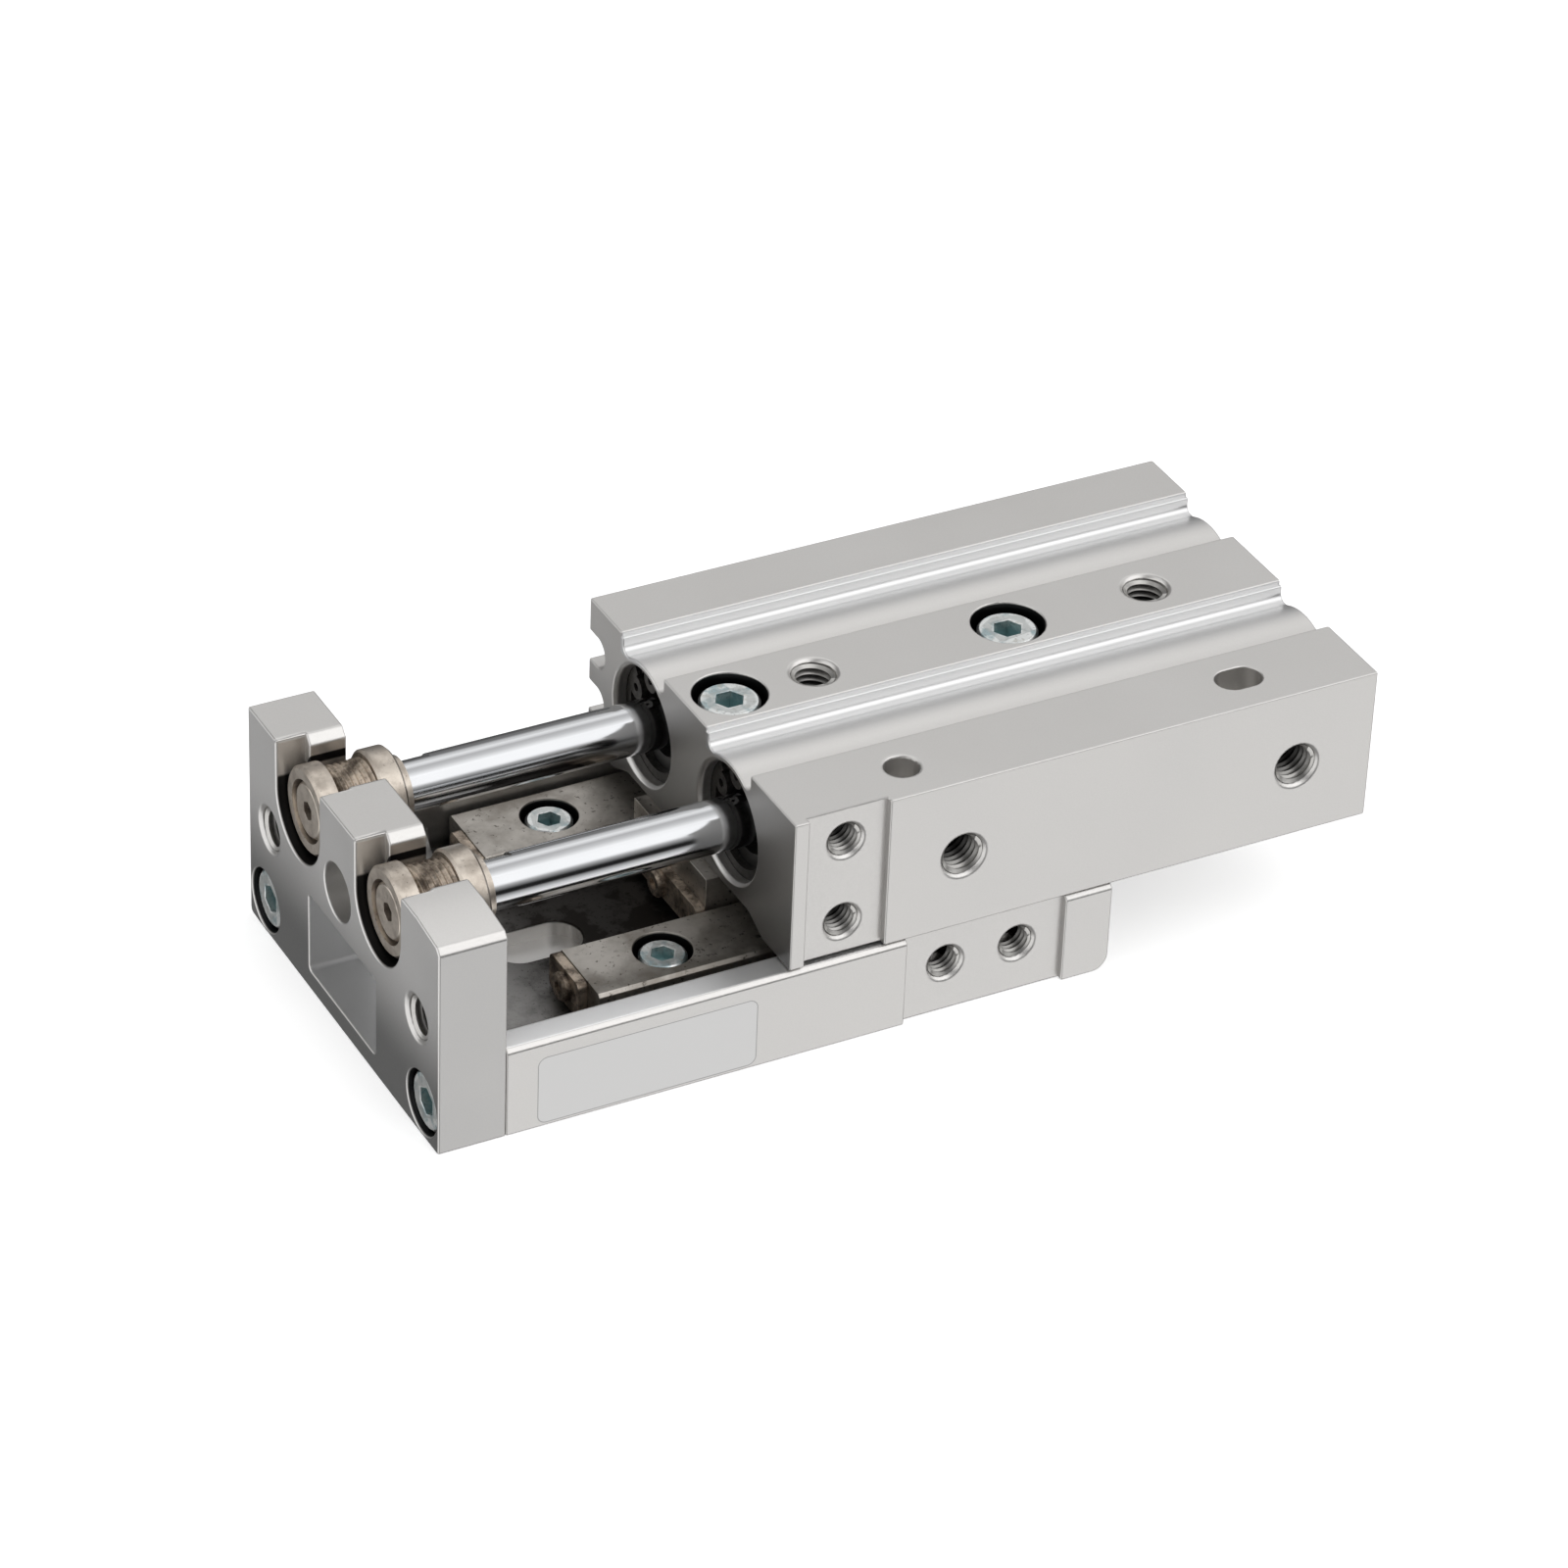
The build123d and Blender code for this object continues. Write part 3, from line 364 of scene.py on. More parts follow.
def plateExtras(paint, colour, roughness):
    x, y, z = paint.along(paint.place())
    depth = x - cadLow.x
    across, level, radius = plateMarks["screw"]
    shade = boreShade(y.size() - across, z - level, radius, depth)
    # the near side painted darker as shade
    side = y.fade(cadLow.y + 0.02 * mm, cadLow.y + 0.06 * mm)
    colour = paint.mix(side * plateMarks["sideShare"], colour, plateMarks["side"])
    # the front painted darker as shade at its foot, and brighter as a highlight higher up
    front = x.fade(cadLow.x + 0.02 * mm, cadLow.x + 0.06 * mm)
    lift = z.ramp(plateMarks["liftLow"], plateMarks["liftHigh"])
    colour = paint.mix(front * (1.0 - lift) * plateMarks["footShare"], colour, plateMarks["foot"])
    colour = paint.mix(front * lift * plateMarks["topShare"], colour, plateMarks["top"])
    # painted shade in the gaps round the discs, mixed in with the counterbores' painted shade
    across, level, radius = plateMarks["disc"]
    discGapShade = boreShade((y - midY).size() - across, z - level, radius, depth)
    colour = paint.mix(shade + discGapShade, colour, paintedBoreShade["colour"])
    # the pocket painted brighter, as light falling into it
    back = cadLow.x + plateMarks["pocketDepth"]
    deep = x.ramp(cadLow.x + 0.05 * mm, cadLow.x + 0.30 * mm) * x.fade(back, back + 0.1 * mm)
    wide = y.size().fade(plateMarks["pocketHalfWidth"], plateMarks["pocketHalfWidth"] + 0.1 * mm)
    tall = z.ramp(plateMarks["pocketLow"], plateMarks["pocketLow"] + 0.1 * mm)
    tall = tall * z.fade(plateMarks["pocketHigh"], plateMarks["pocketHigh"] + 0.1 * mm)
    return paint.mix(deep * wide * tall, colour, plateMarks["pocket"]), roughness


# Ground and hardened steel of the rails and the guide block, with oil specks
ground = {
    "light": (0.54, 0.51, 0.47, 1.0),
    "dark": (0.26, 0.235, 0.205, 1.0),
    "oil": (0.05, 0.040, 0.030, 1.0),
    "streak": grey(0.28, 0.03),
    "roughness": 0.27,
    "screwPlace": -25.0 * mm,
    "screwPitch": 20.0 * mm,
    "screwOffset": 14.3 * mm,
    "screwRadius": 3.35 * mm,
    "railTop": 9.7 * mm,
}


def groundSteel(name):
    paint = newPaint(name)
    streaks = paint.noise(900.0, 4.0, 0.6, (0.08, 1, 1))
    patches = paint.noise(170.0, 5.0, 0.6)
    specks = paint.noise(1700.0, 3.0, 0.6).ramp(0.60, 0.70)
    blots = paint.noise(520.0, 4.0, 0.7).ramp(0.60, 0.72)
    colour = paint.mix(patches.ramp(0.35, 0.68), ground["light"], ground["dark"])
    colour = paint.mix((streaks - 0.5) * 0.3 + 0.1, colour, ground["streak"])
    colour = paint.mix(specks * 0.75 + blots * 0.35, colour, ground["oil"])
    # painted shade in the row of counterbores along each rail
    x, y, z = paint.along(paint.place())
    half = ground["screwPitch"] / 2
    step = (x + (half - ground["screwPlace"])).wrap(ground["screwPitch"]) - half
    across = (y - midY).size() - ground["screwOffset"]
    shade = boreShade(step, across, ground["screwRadius"], ground["railTop"] - z)
    colour = paint.mix(shade, colour, paintedBoreShade["colour"])
    return paint.surface({
        "Base Color": colour,
        "Roughness": ground["roughness"] + streaks * 0.14 + patches * 0.10 - blots * 0.08,
        "Metallic": 0.92,
        "Normal": paint.bump(streaks, 0.004 * mm),
    })


# Stamped stop plates, stained brown by oil
stained = {
    "light": (0.58, 0.49, 0.40, 1.0),
    "dark": (0.11, 0.085, 0.065, 1.0),
    "speck": grey(0.05),
    "roughness": 0.34,
}


def stainedSteel(name):
    paint = newPaint(name)
    patches = paint.noise(420.0, 5.0, 0.65)
    specks = paint.noise(2600.0, 2.0).ramp(0.58, 0.70)
    colour = paint.mix(patches.ramp(0.38, 0.66), stained["light"], stained["dark"])
    return paint.surface({
        "Base Color": paint.mix(specks * 0.5, colour, stained["speck"]),
        "Roughness": stained["roughness"] + patches * 0.22,
        "Metallic": 0.85,
        "Normal": paint.bump(patches, 0.012 * mm),
    })


# How far below the top of a screw's head its socket is painted darker as shade, and where its shank
# begins, which is painted dark as shade
screwShadeDepth = {"socket": (0.30 * mm, 1.30 * mm), "shank": (4.4 * mm, 5.0 * mm)}


def sunk(paint, node, axis, outward):
    # two shares for painted shade: 0 on top of the heads and 1 down in their sockets, then 1 on the shanks
    # alone
    low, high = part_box(node)
    level = high[axis] if outward > 0 else low[axis]
    depth = (level - paint.along(paint.place())[axis]) * outward
    return depth.ramp(*screwShadeDepth["socket"]), depth.ramp(*screwShadeDepth["shank"])


# Bright zinc on the socket screws, a little blue and scuffed, with painted shade: dark teal in the
# sockets, near black on the shanks and the sides of the heads, and a mid tone on the flat ring beside the
# bright rim.
# The flat ring and the side of a head lie between shares of the head's radius.
zinc = {
    "light": (0.86, 0.88, 0.87, 1.0),
    "blue": (0.42, 0.52, 0.54, 1.0),
    "warm": (0.50, 0.49, 0.43, 1.0),
    "socket": (0.34, 0.47, 0.48, 1.0),
    "headFlat": (0.46, 0.48, 0.47, 1.0),
    "headSide": (0.012, 0.012, 0.013, 1.0),
    "scuff": grey(0.30),
    "flatStart": (0.56, 0.64),
    "flatEnd": (0.82, 0.88),
    "sideStart": (0.90, 0.97),
    "roughness": 0.22,
}


def zincPlate(name, node, axis, outward, headRadius):
    paint = newPaint(name)
    down, shank = sunk(paint, node, axis, outward)
    radius = paint.add("ShaderNodeAttribute", {"attribute_name": "fromAxis"}, output="Fac") / headRadius
    flat = radius.ramp(*zinc["flatStart"]) * radius.fade(*zinc["flatEnd"])
    side = radius.ramp(*zinc["sideStart"]) * down
    sheen = paint.noise(620.0, 3.0)
    scuffs = paint.noise(3200.0, 3.0, 0.7)
    colour = paint.mix(sheen.ramp(0.46, 0.66), zinc["light"], zinc["blue"])
    colour = paint.mix(paint.noise(900.0, 2.0).ramp(0.58, 0.72) * 0.6, colour, zinc["warm"])
    colour = paint.mix(scuffs.ramp(0.56, 0.70) * 0.65, colour, zinc["scuff"])
    # painted shade: the flat ring a mid tone, the sockets dark teal, the shanks and the sides of the heads
    # near black
    colour = paint.mix(flat * 0.55, colour, zinc["headFlat"])
    colour = paint.mix(down, colour, zinc["socket"])
    colour = paint.mix(shank, colour, zinc["headSide"])
    return paint.surface({
        "Base Color": paint.mix(side, colour, zinc["headSide"]),
        "Roughness": zinc["roughness"] + scuffs * 0.20 + down * 0.12,
        "Metallic": 0.95 - side * 0.9,
        "Normal": paint.bump(scuffs + sheen * 2.0, 0.022 * mm),
    })


# Warm nickel on the floating joints, with fine turning marks round the rod's axis, and painted shade in
# the sockets of the rod end screws
nickel = {
    "light": (0.62, 0.56, 0.49, 1.0),
    "dark": (0.40, 0.35, 0.30, 1.0),
    "socket": (0.035, 0.022, 0.020, 1.0),
    "speck": grey(0.12, 0.1),
    "markPitch": 0.16 * mm,
    "roughness": 0.27,
}


def warmNickel(name, axisY, axisZ, screw=None):
    paint = newPaint(name)
    x, y, z = paint.along(paint.place())
    radius = ((y - axisY) ** 2.0 + (z - axisZ) ** 2.0) ** 0.5
    marks = (radius + x).wave(nickel["markPitch"])
    cloud = paint.noise(500.0, 4.0, 0.6)
    specks = paint.noise(2600.0, 2.0).ramp(0.64, 0.72)
    colour = paint.mix(cloud.ramp(0.35, 0.70), nickel["light"], nickel["dark"])
    colour = paint.mix(specks * 0.5, colour, nickel["speck"])
    # painted shade down in the screw's socket
    if screw:
        colour = paint.mix(sunk(paint, screw, 0, -1)[0], colour, nickel["socket"])
    return paint.surface({
        "Base Color": colour,
        "Roughness": nickel["roughness"] + cloud * 0.12 + marks * 0.02,
        "Metallic": 0.92,
        "Normal": paint.bump(marks, 0.0025 * mm),
    })


# Turned aluminium of the rod covers, head caps and pistons
turned = {"light": grey(0.14, 0.01), "dark": grey(0.09, 0.02), "markPitch": 0.14 * mm, "roughness": 0.30}


def turnedAluminium(name, axisY, axisZ):
    paint = newPaint(name)
    x, y, z = paint.along(paint.place())
    radius = ((y - axisY) ** 2.0 + (z - axisZ) ** 2.0) ** 0.5
    marks = radius.wave(turned["markPitch"])
    cloud = paint.noise(260.0, 4.0)
    return paint.surface({
        "Base Color": paint.mix(cloud, turned["dark"], turned["light"]),
        "Roughness": turned["roughness"] + marks * 0.03 + cloud * 0.10,
        "Metallic": 0.90,
        "Normal": paint.bump(marks, 0.003 * mm),
    })


# Hard chrome of the rods, with hairlines along the stroke
chrome = {"light": (0.60, 0.607, 0.62, 1.0), "dark": (0.54, 0.547, 0.56, 1.0), "roughness": 0.085}


def hardChrome(name):
    paint = newPaint(name)
    hairs = paint.noise(2200.0, 3.0, 0.6, (0.02, 1, 1))
    haze = paint.noise(90.0, 3.0)
    return paint.surface({
        "Base Color": paint.mix(haze, chrome["light"], chrome["dark"]),
        "Roughness": chrome["roughness"] + hairs * 0.05 + haze * 0.02,
        "Metallic": 1.0,
        "Normal": paint.bump(hairs, 0.0006 * mm),
    })


# Plain finishes with some grain: steels, rubber, magnet and brass.
# Scale is the grain's fineness, and depth is its height.
plainFinishes = {
    "roller_steel": {
        "light": (0.62, 0.62, 0.62, 1.0),
        "dark": (0.45, 0.45, 0.45, 1.0),
        "roughness": 0.16,
        "metallic": 1.0,
        "scale": 1500.0,
        "depth": 0.002 * mm,
    },
    "spring_steel": {
        "light": (0.085, 0.08, 0.075, 1.0),
        "dark": (0.04, 0.038, 0.035, 1.0),
        "roughness": 0.40,
        "metallic": 0.85,
        "scale": 1800.0,
        "depth": 0.010 * mm,
    },
    "black_rubber": {
        "light": (0.035, 0.035, 0.036, 1.0),
        "dark": (0.018, 0.018, 0.018, 1.0),
        "roughness": 0.55,
        "metallic": 0.0,
        "scale": 2500.0,
        "depth": 0.020 * mm,
    },
    "ring_magnet": {
        "light": (0.16, 0.16, 0.17, 1.0),
        "dark": (0.08, 0.08, 0.085, 1.0),
        "roughness": 0.50,
        "metallic": 0.5,
        "scale": 3000.0,
        "depth": 0.020 * mm,
    },
    "cage_brass": {
        "light": (0.68, 0.53, 0.28, 1.0),
        "dark": (0.45, 0.34, 0.17, 1.0),
        "roughness": 0.30,
        "metallic": 0.95,
        "scale": 900.0,
        "depth": 0.006 * mm,
    },
}


def plainFinish(slot):
    facts = plainFinishes[slot]
    paint = newPaint(slot)
    grain = paint.noise(facts["scale"], 4.0, 0.6)
    return paint.surface({
        "Base Color": paint.mix(grain.ramp(0.3, 0.7), facts["dark"], facts["light"]),
        "Roughness": facts["roughness"] + (grain - 0.5) * 0.16,
        "Metallic": facts["metallic"],
        "Normal": paint.bump(grain, facts["depth"]),
    })


# Cut threads: bright at the mouth, and painted darker as shade the deeper they lie
cutThread = {
    "light": (0.66, 0.65, 0.63, 1.0),
    "dark": (0.42, 0.41, 0.39, 1.0),
    "deep": (0.025, 0.024, 0.023, 1.0),
    "darkening": (0.3 * mm, 4.6 * mm),
}


def threadFinish(name, axis, level, outward):
    paint = newPaint(name)
    grain = paint.noise(1800.0, 4.0, 0.6)
    spot = paint.along(paint.place())[axis]
    # painted shade, growing with depth in the hole
    deep = ((level - spot) * outward).ramp(*cutThread["darkening"])
    colour = paint.mix(grain, cutThread["dark"], cutThread["light"])
    return paint.surface({
        "Base Color": paint.mix(deep, colour, cutThread["deep"]),
        "Roughness": 0.26 + grain * 0.10,
        "Metallic": 0.95,
        "Normal": paint.bump(grain, 0.006 * mm),
    })


def rodAxis(node):
    low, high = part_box(node)
    return (low.y + high.y) / 2, (low.z + high.z) / 2


finishes = {
    "cylinder_body": satinAluminium("bodyAluminium", bodyExtras),
    "slide_table": satinAluminium("tableAluminium", tableExtras),
    "end_plate": satinAluminium("plateAluminium", plateExtras),
    "guide_steel": groundSteel("groundSteel"),
    "stopper_steel": stainedSteel("stainedSteel"),
    "chrome_rod": hardChrome("hardChrome"),
}
for node in ("block_stopper_screws", "rail_stopper_screws"):
    finishes[node] = finishes["stopper_steel"]
# each set of screws: the axis its heads face along, which way, and the radius of a head
screwHeads = {
    "guide_block_screws": (2, 1, 3.50 * mm),
    "rail_screws": (2, 1, 2.75 * mm),
    "end_plate_screws": (0, -1, 3.50 * mm),
    "piston_screws": (0, 1, 2.75 * mm),
}
for node, (axis, outward, headRadius) in screwHeads.items():
    finishes[node] = zincPlate(node.split("_")[0] + "Zinc", node, axis, outward, headRadius)
for side in ("near", "far"):
    axisY, axisZ = rodAxis("piston_rod_" + side)
    finishes["nickel_plate_" + side] = warmNickel("warmNickel" + side.title(), axisY, axisZ)
    screw = "rod_end_screw_" + side
    finishes[screw] = warmNickel("screwNickel" + side.title(), axisY, axisZ, screw)
    finishes["turned_aluminium_" + side] = turnedAluminium("turnedAluminium" + side.title(), axisY, axisZ)
for slot in plainFinishes:
    finishes[slot] = plainFinish(slot)
print("finishes made:", len(finishes))


def finishOf(node):
    slot = slotOf[node]
    side = node.rsplit("_", 1)[-1]
    for key in (node, slot, slot + "_" + side):
        if key in finishes:
            return finishes[key]


def camelName(node):
    first, *rest = node.split("_")
    return first + "".join(word.title() for word in rest)


# Each CAD node is dressed in a merged copy of its own mesh, with smooth round faces, and these
# nodes have their outward corners softened to the width given
softEdge = {
    "cylinder_body": 0.20 * mm,
    "slide_table": 0.20 * mm,
    "end_plate": 0.24 * mm,
    "rail_near": 0.10 * mm,
    "rail_far": 0.10 * mm,
    "guide_block": 0.10 * mm,
    "rail_stoppers": 0.07 * mm,
    "block_stoppers": 0.07 * mm,
    "guide_block_screws": 0.08 * mm,
    "rail_screws": 0.06 * mm,
    "end_plate_screws": 0.08 * mm,
    "rod_end_screw_near": 0.05 * mm,
    "rod_end_screw_far": 0.05 * mm,
}
mergeWithin = 0.001 * mm
collapseBelow = 0.0001 * mm
smoothBelow = math.radians(32)
flatBelow = math.radians(0.6)
# the inside of the body's bores: this near to a rod's axis, and this far behind the front face
boreReach = 7.6 * mm
boreMouth = 0.9 * mm
rodAxes = [rodAxis("piston_rod_near"), rodAxis("piston_rod_far")]


def markAxisDistance(shape, axis):
    # fromAxis: how far each point lies from the middle of its own loose piece, square to the axis
    layer = shape.verts.layers.float.new("fromAxis")
    waiting = set(shape.verts)
    while waiting:
        found = [waiting.pop()]
        for vert in found:
            for edge in vert.link_edges:
                other = edge.other_vert(vert)
                if other in waiting:
                    waiting.remove(other)
                    found.append(other)
        places = np.array([vert.co for vert in found])
        offset = places - (places.min(axis=0) + places.max(axis=0)) / 2
        offset[:, axis] = 0
        for vert, distance in zip(found, np.linalg.norm(offset, axis=1)):
            vert[layer] = distance


def markCorners(shape, node):
    # outward corners are softened, but not those inside the body's bores
    weight = shape.edges.layers.float.new("bevel_weight_edge")
    for edge in shape.edges:
        middle = (edge.verts[0].co + edge.verts[1].co) / 2
        inBore = node == "cylinder_body" and middle.x > bodyFront + boreMouth and any(
            math.hypot(middle.y - axisY, middle.z - axisZ) < boreReach for axisY, axisZ in rodAxes
        )
        if edge.calc_face_angle_signed(0.0) > smoothBelow and not inBore:
            edge[weight] = 1.0


def makePiece(mesh, finish, node):
    # a visual piece with one finish, on the body of a CAD node
    mesh.materials.append(finish)
    mesh.shade_smooth()
    mesh.set_sharp_from_angle(angle=smoothBelow)
    piece = bpy.data.objects.new(mesh.name, mesh)
    bpy.context.scene.collection.objects.link(piece)
    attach(piece, bodyOf[node])
    return piece


def mergedCopy(node):
    shape = bmesh.new()
    plain = frame["nodes"][node].data.copy()
    if "custom_normal" in plain.attributes:
        plain.attributes.remove(plain.attributes["custom_normal"])
    shape.from_mesh(plain)
    bmesh.ops.remove_doubles(shape, verts=shape.verts, dist=mergeWithin)
    if node in softEdge:
        bmesh.ops.dissolve_limit(shape, angle_limit=flatBelow, verts=shape.verts, edges=shape.edges)
        markCorners(shape, node)
    if node in screwHeads:
        markAxisDistance(shape, screwHeads[node][0])
    mesh = bpy.data.meshes.new(camelName(node))
    shape.to_mesh(mesh)
    shape.free()
    bpy.data.meshes.remove(plain)
    mesh.materials.clear()
    return mesh


def dress(node):
    piece = makePiece(mergedCopy(node), finishOf(node), node)
    if node in softEdge:
        soften = piece.modifiers.new("softEdges", "BEVEL")
        soften.width = softEdge[node]
        soften.segments = 2
        soften.limit_method = "WEIGHT"
        soften.harden_normals = True
        # the full width on long edges too, though some edges are shorter than it
        soften.use_clamp_overlap = False
    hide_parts(node)


for node in bodyOf:
    dress(node)
print("nodes dressed")


def gridMesh(name, points):
    # faces between neighbouring points of a grid, with points in the same place merged
    across, down = points.shape[:2]
    a = np.arange(across - 1)[:, None] * down + np.arange(down - 1)
    quads = np.stack([a, a + down, a + down + 1, a + 1], axis=-1).reshape(-1, 4)
    mesh = bpy.data.meshes.new(name)
    mesh.from_pydata(points.reshape(-1, 3).tolist(), [], quads.tolist())
    shape = bmesh.new()
    shape.from_mesh(mesh)
    bmesh.ops.remove_doubles(shape, verts=shape.verts, dist=mergeWithin)
    bmesh.ops.dissolve_degenerate(shape, dist=collapseBelow, edges=shape.edges)
    shape.to_mesh(mesh)
    shape.free()
    return mesh


def crossAxes(direction):
    # two directions square to the given one, right-handed with it
    direction = np.array(direction, float)
    helper = np.array([0.0, 0.0, 1.0]) if abs(direction[2]) < 0.5 else np.array([1.0, 0.0, 0.0])
    first = np.cross(helper, direction)
    first /= np.linalg.norm(first)
    return first, np.cross(direction, first)


# A thread's ridge: where its four edges lie in each pitch, which of them stand up, and steps a turn
ridgeEdges = [0.0, 0.16, 0.52, 0.64]
ridgeHeights = [0.0, 0.0, 1.0, 1.0]
stepsAround = 64


def threadSurface(name, start, direction, radius, ridge, pitch, length):
    # a ridge wound on a tube, with a row of points along each of its four edges:
    # depth = pitch * (turn + edge + angle / full circle), cut off square at both ends
    turns = math.ceil(length / pitch) + 1
    edges = (np.arange(-1, turns)[:, None] + np.array(ridgeEdges)).reshape(1, -1)
    crest = np.tile(ridgeHeights, turns + 1)[None, :]
    angle = np.linspace(0, 2 * math.pi, stepsAround + 1)[:, None]
    depth = pitch * (edges + angle / (2 * math.pi))
    inside = (depth > 0) & (depth < length)
    size = radius + ridge * crest * inside
    first, second = crossAxes(direction)
    ring = np.cos(angle)[..., None] * first + np.sin(angle)[..., None] * second
    centre = np.array(start) + np.clip(depth, 0, length)[..., None] * np.array(direction, float)
    return gridMesh(name, centre + ring * size[..., None])


# Threads in the tapped holes, in millimetres: the level of the hole's mouth, where the thread starts
# and ends below it, and how far its ridge stands in from the wall
tapped = {
    "body_threads": {"mouth": ("z", 30.6), "pitch": 0.8, "from": 0.40, "to": 9.8, "ridge": 0.42},
    "front_port": {"mouth": ("y", -25.0), "pitch": 0.8, "from": 0.40, "to": 8.0, "ridge": 0.42},
    "rear_port": {"mouth": ("y", -25.0), "pitch": 0.8, "from": 0.40, "to": 8.0, "ridge": 0.42},
    "body_side_threads": {"mouth": ("y", -24.1), "pitch": 0.7, "from": 0.40, "to": 6.3, "ridge": 0.37},
    "table_side_threads": {"mouth": ("y", -24.2), "pitch": 0.7, "from": 0.40, "to": 3.1, "ridge": 0.37},
    "plate_threads": {"mouth": ("x", -57.4), "pitch": 0.8, "from": 0.40, "to": 7.9, "ridge": 0.42},
    "table_threads": {"mouth": ("z", 0.0), "pitch": 0.7, "from": 0.05, "to": 4.1, "ridge": 0.37},
}
sleeveGap = 0.01 * mm
tappedNode = {
    "body": "cylinder_body",
    "front": "cylinder_body",
    "rear": "cylinder_body",
    "table": "slide_table",
    "plate": "end_plate",
}


def holeCentres(mount):
    # a mount's hole places on its face: one, two in a row, or the four corners of a rectangle
    centre = np.array(mount["pos_m"])
    rowAxes = [axis for axis in np.eye(3) if abs(np.dot(axis, mount["axis"])) < 0.5]
    places = [centre]
    for key, axis in zip(("spacing_x_mm", "spacing_y_mm"), rowAxes):
        if key in mount["dims"]:
            half = mount["dims"][key] * mm / 2
            places = [place + step * half * axis for place in places for step in (-1, 1)]
    return places


for name, facts in tapped.items():
    mount = mountOf[name]
    outward = np.array(mount["axis"], float)
    radius = mount["dims"].get("hole_r_mm", mount["dims"].get("r_mm")) * mm
    node = tappedNode[name.split("_")[0]]
    letter, level = facts["mouth"]
    axis = "xyz".index(letter)
    finish = threadFinish(camelName(name), axis, level * mm, mount["axis"][axis])
    for number, place in enumerate(holeCentres(mount)):
        start = place.copy()
        start[axis] = level * mm
        start -= outward * facts["from"] * mm
        mesh = threadSurface(
            f"{camelName(name)}{number + 1}", start, -outward, radius - sleeveGap, -facts["ridge"] * mm,
            facts["pitch"] * mm, (facts["to"] - facts["from"]) * mm,
        )
        mesh.flip_normals()
        makePiece(mesh, finish, node)

# Thread on each floating bushing's sleeve, between its head and its collar
bushingThread = {"headLength": 2.45 * mm, "sleeveRadius": 4.21 * mm, "ridge": 0.22 * mm, "pitch": 0.7 * mm}
for side in ("near", "far"):
    bushing = "floating_bushing_" + side
    axisY, axisZ = rodAxis(bushing)
    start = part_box(bushing)[0].x + bushingThread["headLength"]
    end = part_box("bushing_collar_" + side)[0].x
    mesh = threadSurface(
        "bushingThread" + side.title(), (start, axisY, axisZ), (1, 0, 0), bushingThread["sleeveRadius"],
        bushingThread["ridge"], bushingThread["pitch"], end - start,
    )
    makePiece(mesh, finishes["stopper_steel"], bushing)
print("threads cut")


# Floor, light and camera
studio = {
    "floorSize": 6.0,
    "floorColour": grey(0.86),
    "floorRoughness": 0.9,
    "floorGlow": 0.55,
    "background": grey(0.93),
    "worldStrength": 0.9,
    # brightness of the surroundings by angle round the stroke: 0 is level behind, 90 is overhead,
    # 180 is level in front and -90 is below
    "rings": [
        (-180, 0.02), (-169, 0.02), (-161, 0.55), (-140, 1.48), (-118, 0.85), (-100, 0.20),
        (-62, 0.08), (-48, 0.10), (-15, 0.13), (3, 0.15), (22, 0.34), (36, 0.82), (47, 1.08),
        (60, 1.10), (68, 0.85), (76, 0.45), (92, 0.70), (108, 1.25), (120, 1.80), (150, 1.80),
        (159, 0.75), (170, 0.30), (178, 0.02), (180, 0.02),
    ],
    # ahead of the end plate the surroundings have levels of their own, which take over between
    # these two parts of a direction along the stroke
    "leftLevel": 0.20,
    "leftEdge": (-0.30, 0.15),
    "farLeftLevel": 1.3,
    "farLeftEdge": (-0.68, -0.48),
}
floorMesh = bpy.data.meshes.new("floor")
half = studio["floorSize"] / 2
corners = [(-half, -half, 0), (half, -half, 0), (half, half, 0), (-half, half, 0)]
floorMesh.from_pydata(corners, [], [(0, 1, 2, 3)])
floor = bpy.data.objects.new("floor", floorMesh)
bpy.context.scene.collection.objects.link(floor)
floorPaint = newPaint("floorPaint")
floorMesh.materials.append(floorPaint.surface({
    "Base Color": studio["floorColour"],
    "Roughness": studio["floorRoughness"],
    "Emission Color": grey(1.0),
    "Emission Strength": studio["floorGlow"],
}))
floor.visible_glossy = False

world = bpy.data.worlds.new("studio")
bpy.context.scene.world = world
sky = Paint(world)
direction = sky.add("ShaderNodeTexCoord", output="Generated")
x, y, z = sky.along(direction)
turn = z.math("ARCTAN2", z, y) / (2 * math.pi) + 0.5
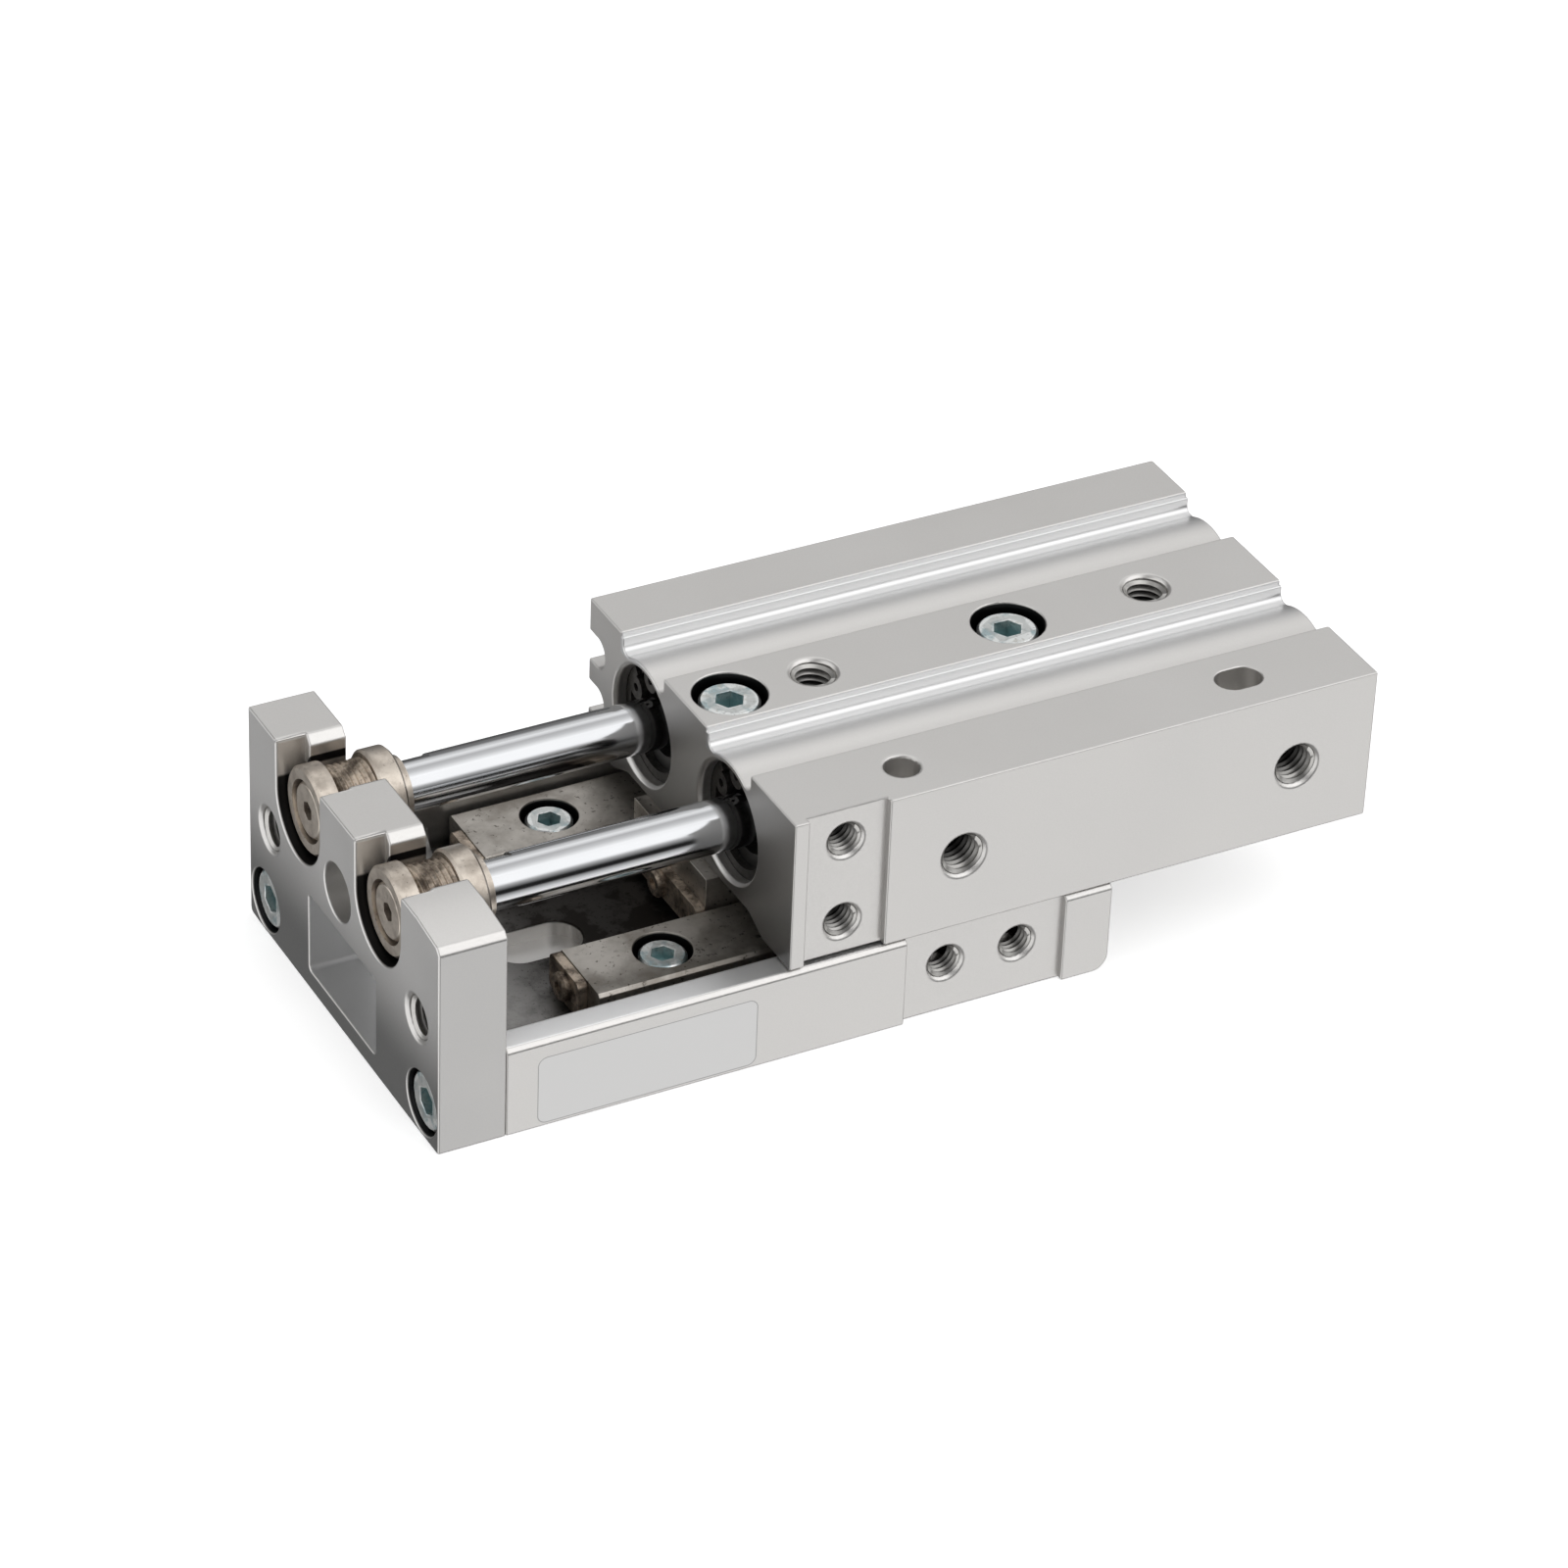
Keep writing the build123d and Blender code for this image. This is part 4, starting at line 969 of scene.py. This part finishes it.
# the levels are halved here, which keeps every stop below 1, and doubled again below
stops = [((angle + 180) / 360, grey(level / 2)) for angle, level in studio["rings"]]
rings = sky.add("ShaderNodeValToRGB", {"stops": stops}, {"Fac": turn})
right = x.ramp(*studio["leftEdge"])
farLeft = x.fade(*studio["farLeftEdge"])
left = studio["leftLevel"] + farLeft * (studio["farLeftLevel"] - studio["leftLevel"])
level = sky.add("ShaderNodeRGBToBW", {}, {"Color": rings}) * 2.0 * right + (1.0 - right) * left
strength = level * studio["worldStrength"]
grade = sky.add("ShaderNodeBackground", {}, {"Color": (1, 1, 1, 1), "Strength": strength})
plainBack = sky.add("ShaderNodeBackground", {}, {"Color": studio["background"], "Strength": 1.0})
seen = sky.add("ShaderNodeLightPath", output="Is Camera Ray")
both = sky.add("ShaderNodeMixShader", {}, {0: seen, 1: grade, 2: plainBack})
sky.add("ShaderNodeOutputWorld", {}, {"Surface": both})

lamps = {
    "overhead": {"place": (0.10, 0.10, 1.10), "size": 1.4, "power": 2.0},
}
aim = (cadLow + cadHigh) / 2
for name, facts in lamps.items():
    light = bpy.data.lights.new(name, "AREA")
    light.shape = "SQUARE"
    light.size = facts["size"]
    light.energy = facts["power"]
    lamp = bpy.data.objects.new(name, light)
    lamp.location = facts["place"]
    lamp.rotation_mode = "QUATERNION"
    lamp.rotation_quaternion = (Vector(facts["place"]) - aim).to_track_quat("Z", "Y")
    bpy.context.scene.collection.objects.link(lamp)

shot = {
    "place": (-0.28762, -0.51800, 0.41461),
    "towards": (-0.00830, -0.00868, 0.02401),
    "roll": 2.364,
    "focalPixels": 6529.0,
    "imagePixels": 1600,
    "sensor": 36.0,
    "clip": (0.01, 20.0),
}
cameraData = bpy.data.cameras.new("photoCamera")
camera = bpy.data.objects.new("photoCamera", cameraData)
bpy.context.scene.collection.objects.link(camera)
cameraData.sensor_width = shot["sensor"]
cameraData.lens = shot["sensor"] * shot["focalPixels"] / shot["imagePixels"]
camera.location = shot["place"]
camera.rotation_mode = "QUATERNION"
gaze = Vector(shot["towards"]) - Vector(shot["place"])
roll = Quaternion((0, 0, 1), math.radians(shot["roll"]))
camera.rotation_quaternion = gaze.to_track_quat("-Z", "Y") @ roll
cameraData.clip_start, cameraData.clip_end = shot["clip"]
bpy.context.scene.camera = camera
# plain tones, so that the white floor stays white as in the photograph
bpy.context.scene.view_settings.view_transform = "Standard"
print("studio set")
